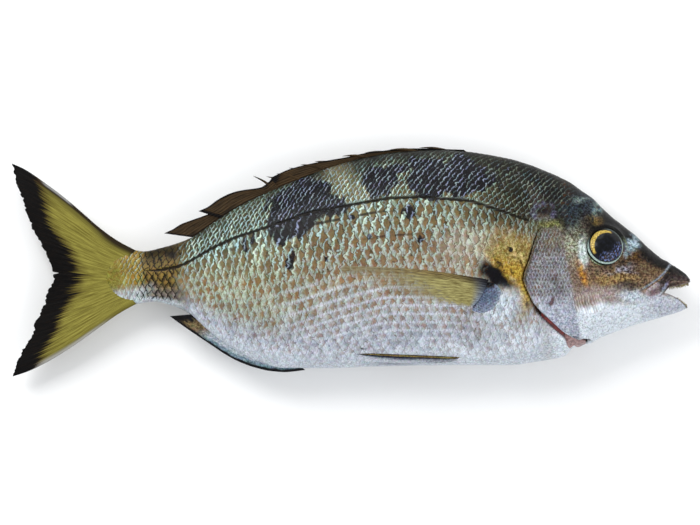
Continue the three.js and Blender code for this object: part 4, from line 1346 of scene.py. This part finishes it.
def anal_fin():
    """The fin behind the vent, folded against the belly: silvery skin with a dark edge."""
    rows, columns = 150, 40
    flat = ruled(ANAL_BASE, ANAL_EDGE, rows, columns)
    s, t = shares(rows, columns)
    number = 4.0 * t + 3.0 * s
    to_edge = (1 - t) * np.linalg.norm(flat[:, -1] - flat[:, 0], axis=-1)[:, None]
    to_rear = line_distance(*np.moveaxis(flat, -1, 0), [ANAL_BASE[-1], ANAL_EDGE[-1]])
    to_edge = np.minimum(to_edge, 0.35 * np.abs(to_rear) + 0.3)
    half = 1.6 * (1 - t) ** 0.8 + 0.25 + 0.12 * np.abs(np.sin(number * math.pi)) ** 2 * smooth(1, 0.85, t)
    wave = 0.2 * noise(flat, 6, 16) * t
    ripple = noise(np.stack([number * 3, s * 30], -1), 1.2, 24)
    fields = painted_fields(flat, 1, (
        ("98a2ac", "bcc6ce", 1),
        ("4c6874", "8098a4", 0.9 * smooth(3.6, 2.0, to_edge + 0.5 * ripple)),
        ("5c4c34", "8a7a58", smooth(0.7, 0.85, s) * smooth(0.4, 1.0, to_edge)),
        ("2c2418", "4a3e2c", 0.6 * smooth(0.7, 0.85, s) * smooth(0.1, 0.5, ripple)),
        ("0a0a0c", "16161a", smooth(1.6, 0.9, to_edge + 0.4 * ripple)),
    ))
    fields["marks"] = np.broadcast_to([0, NO_LINE, 0], (rows, columns, 3))
    add_upright_sheet("anal_fin", flat, wave, half, SKIN, ["anal_fin"], fields)


def side_fin(name, side):
    """The thin yellow fin that lies back along the flank, clear at its lower edge and its end."""
    rows, columns, rays = 220, 130, 15
    flat = ruled(SIDE_FIN_ROOT, SIDE_FIN_TIP, rows, columns)
    s, share = shares(rows, columns)
    flat[..., 1] += 1.7 * (1 - s) * np.sin(math.pi * share)
    number = rays * s
    ray = np.abs(np.sin(number * math.pi))
    cover = (1.15 - 0.85 * share) * smooth(rays, 6 + 5 * (1 - share), number)
    cover = np.maximum(cover, 0.85 * smooth(3.2, 0.6, number) * (1 - 0.25 * share))
    cover = np.clip(cover * smooth(1, 0.94, share), 0, 1)
    rim = smooth(0, 0.35, number) * smooth(rays, 12, number) * smooth(1, 0.93, share)
    lift = 0.02 + (0.3 + 0.22 * (1 - ray) ** 0.6) * rim * (1.1 - 0.6 * share) + 0.9 * smooth(0.1, 0, share)
    lift = lift + 0.1 * noise(flat, 5, 17 + side) * share * rim
    # Colours from the middle of the fin to its upper edge, its far end and its shaded root.
    upper = smooth(3.2, 0.4, number)
    at_root, shaded = smooth(0.12, 0.0, share), smooth(0.3, 0.02, share + 0.03 * number)
    fields = sheet_fields(flat, side)
    fields["film"] = np.stack([number * 1.6, share * 9, cover], -1)
    for key, far, first, *later in (
        ("film_dark", 0.4, "645a32", "3a2c14", "5c5032", "4c5260", "0a090c"),
        ("film_light", 0.35, "a39c66", "86764a", "827a5e", "7c8898", "16151a"),
    ):
        fields[key] = np.broadcast_to(rgb(first), (rows, columns, 3))
        for colour, amount in zip(later, (upper, smooth(far, 0.8, share), at_root, shaded)):
            fields[key] = paint(fields[key], colour, amount)
    skin_sheet(name, flat, side, lift, lift - 0.32, SKIN, [name], fields)


def fin_root(name, side):
    """The fleshy lobe that the side fin grows from, silvery blue with fine rows of scales."""
    rows, columns = 60, 50
    flat = ruled(LOBE_FRONT, LOBE_REAR, rows, columns)
    x, y = np.moveaxis(flat, -1, 0)
    s, t = shares(rows, columns)
    dome = np.clip(1 - (2 * s - 1) ** 2, 0, 1) ** 0.5
    top = -0.5 + 1.6 * dome * smooth(0, 0.75, t) - 0.9 * smooth(0.88, 1, t)
    blur = noise(np.stack([x, y, np.full(x.shape, side * FLANKS_APART)], -1), 2, 18)
    fields = painted_fields(flat, side, (
        ("56627a", "94a2b6", smooth(0.0, 0.35, t)),
        ("222c44", "4e5e7c", 0.9 * smooth(0.3, 0.75, t + 0.15 * blur) * smooth(-22, -15, y)),
        ("08080c", "14141c", smooth(-12.2, -8.8, y - 0.25 * (x - 62) + blur)),
        ("8c8e92", "c4c8cc", 0.7 * smooth(0.5, 0.1, t) * smooth(-10, -14, y)),
    ))
    fields["lattice"] = np.stack([(-x + 0.5 * y) / 1.5, (y + 0.5 * x) / 1.1, np.full(x.shape, 0.55)], -1)
    fields["marks"] = np.broadcast_to([0, NO_LINE, 0.25], (rows, columns, 3))
    skin_sheet(name, flat, side, top, np.minimum(top - 0.3, -0.8), SKIN, [], fields)


def belly_fin(name, side):
    """A folded fin along the belly: a stout spine over a few pleats."""
    rows, columns, pleats = 40, 140, 5
    upper, lower = spaced(BELLY_FIN_TOP, columns), spaced(BELLY_FIN_BOTTOM, columns)
    flat = np.swapaxes(between(upper, lower, np.linspace(0, 1, rows)), 0, 1)
    s, share = shares(rows, columns)
    number = pleats * s
    ends = np.sqrt(smooth(0, 0.06, share)) * smooth(1, 0.8, share)
    pleat = 0.3 + 0.45 * np.abs(np.sin(number * math.pi))
    lift = 0.05 + pleat * ends * smooth(0, 0.5, np.minimum(number, pleats - number))
    fibre = noise(np.stack([number * 2.2, share * 6], -1), 0.6, 23)
    fields = painted_fields(flat, side, (
        ("b4bac4", "d0d6de", 1),
        ("6c7280", "9aa0ac", smooth(3.1, 2.3, number + 0.4 * fibre)),
        ("1e2230", "3c4252", smooth(2.3, 1.7, number + 0.3 * fibre) * smooth(1.0, 0.9, share)),
        ("5c4c24", "8c7c48", smooth(1.0, 0.7, number + 0.2 * fibre)),
        ("1c1a1c", "32302e", smooth(0.35, 0.15, number) * 0.8),
        ("8c929c", "b4bac4", 0.8 * smooth(0.55, 0.15, share) * smooth(1.2, 1.8, number)),
    ))
    skin_sheet(name, flat, side, lift, lift - 0.5, SKIN, [name], fields)


def floor_and_light():
    bpy.ops.mesh.primitive_plane_add(size=6, location=(0, 0, -0.0002))
    ground = bpy.context.object
    ground.name = "floor"
    n = Material("pale_floor", Roughness=0.9)
    tone = n.ramp(n.noise(n.millimetres(), 90.0), 0.3, 0.7)
    ground.data.materials.append(n.surface(Base_Color=n.mix(tone, "f4f4f4", "f8f8f8")))
    world = bpy.data.worlds.new("studio")
    bpy.context.scene.world = world
    world.use_nodes = True
    background = world.node_tree.nodes["Background"].inputs
    background["Color"].default_value = (0.96, 0.98, 1.0, 1)
    background["Strength"].default_value = 0.72
    for name, place, size, power in LAMPS:
        light = bpy.data.lights.new(name, "AREA")
        light.size = size
        light.energy = power
        lamp = bpy.data.objects.new(name, light)
        lamp.location = place
        aim = -np.array(place)
        tilt, turn = math.acos(-aim[2] / np.linalg.norm(aim)), math.atan2(aim[1], aim[0]) - math.pi / 2
        lamp.rotation_euler = (tilt, 0, turn)
        bpy.context.scene.collection.objects.link(lamp)


def camera():
    """Straight above the fish, as in the photograph, whose width is 1.03 times the fish's length."""
    low, high = np.array(cad_box[0]), np.array(cad_box[1])
    middle = (low + high) / 2
    distance = 3.0
    data = bpy.data.cameras.new("camera")
    data.sensor_width = 36
    data.lens = data.sensor_width * distance / (1.0304 * (high - low)[0])
    made = bpy.data.objects.new("camera", data)
    made.location = (middle[0] - 0.0002, middle[1], MID_HEIGHT * MM + distance)
    bpy.context.scene.collection.objects.link(made)
    bpy.context.scene.camera = made


head_and_trunk()
lower_jaw()
upper_jaw()
tooth_row("upper_teeth", MOUTH_ROOF, 141.0, 14, 0.6, -1, 1.3, "upper_tooth_row")
tooth_row("lower_teeth", MOUTH_FLOOR, 144.0, 8, 0.7, 1, 0.6, "lower_tooth_row")
for label, direction in SIDES.items():
    gill_cover(f"gill_cover_{label}", direction)
    gills(f"gills_{label}", direction)
    gill_membrane(f"gill_membrane_{label}", direction)
    eye(f"eye_{label}", direction)
    eye_rim(f"eye_rim_{label}", direction)
    side_fin(f"pectoral_fin_{label}", direction)
    fin_root(f"pectoral_root_{label}", direction)
    belly_fin(f"pelvic_fin_{label}", direction)
tail_fin()
dorsal_fin()
anal_fin()
floor_and_light()
camera()
bpy.context.scene.view_settings.view_transform = "Standard"
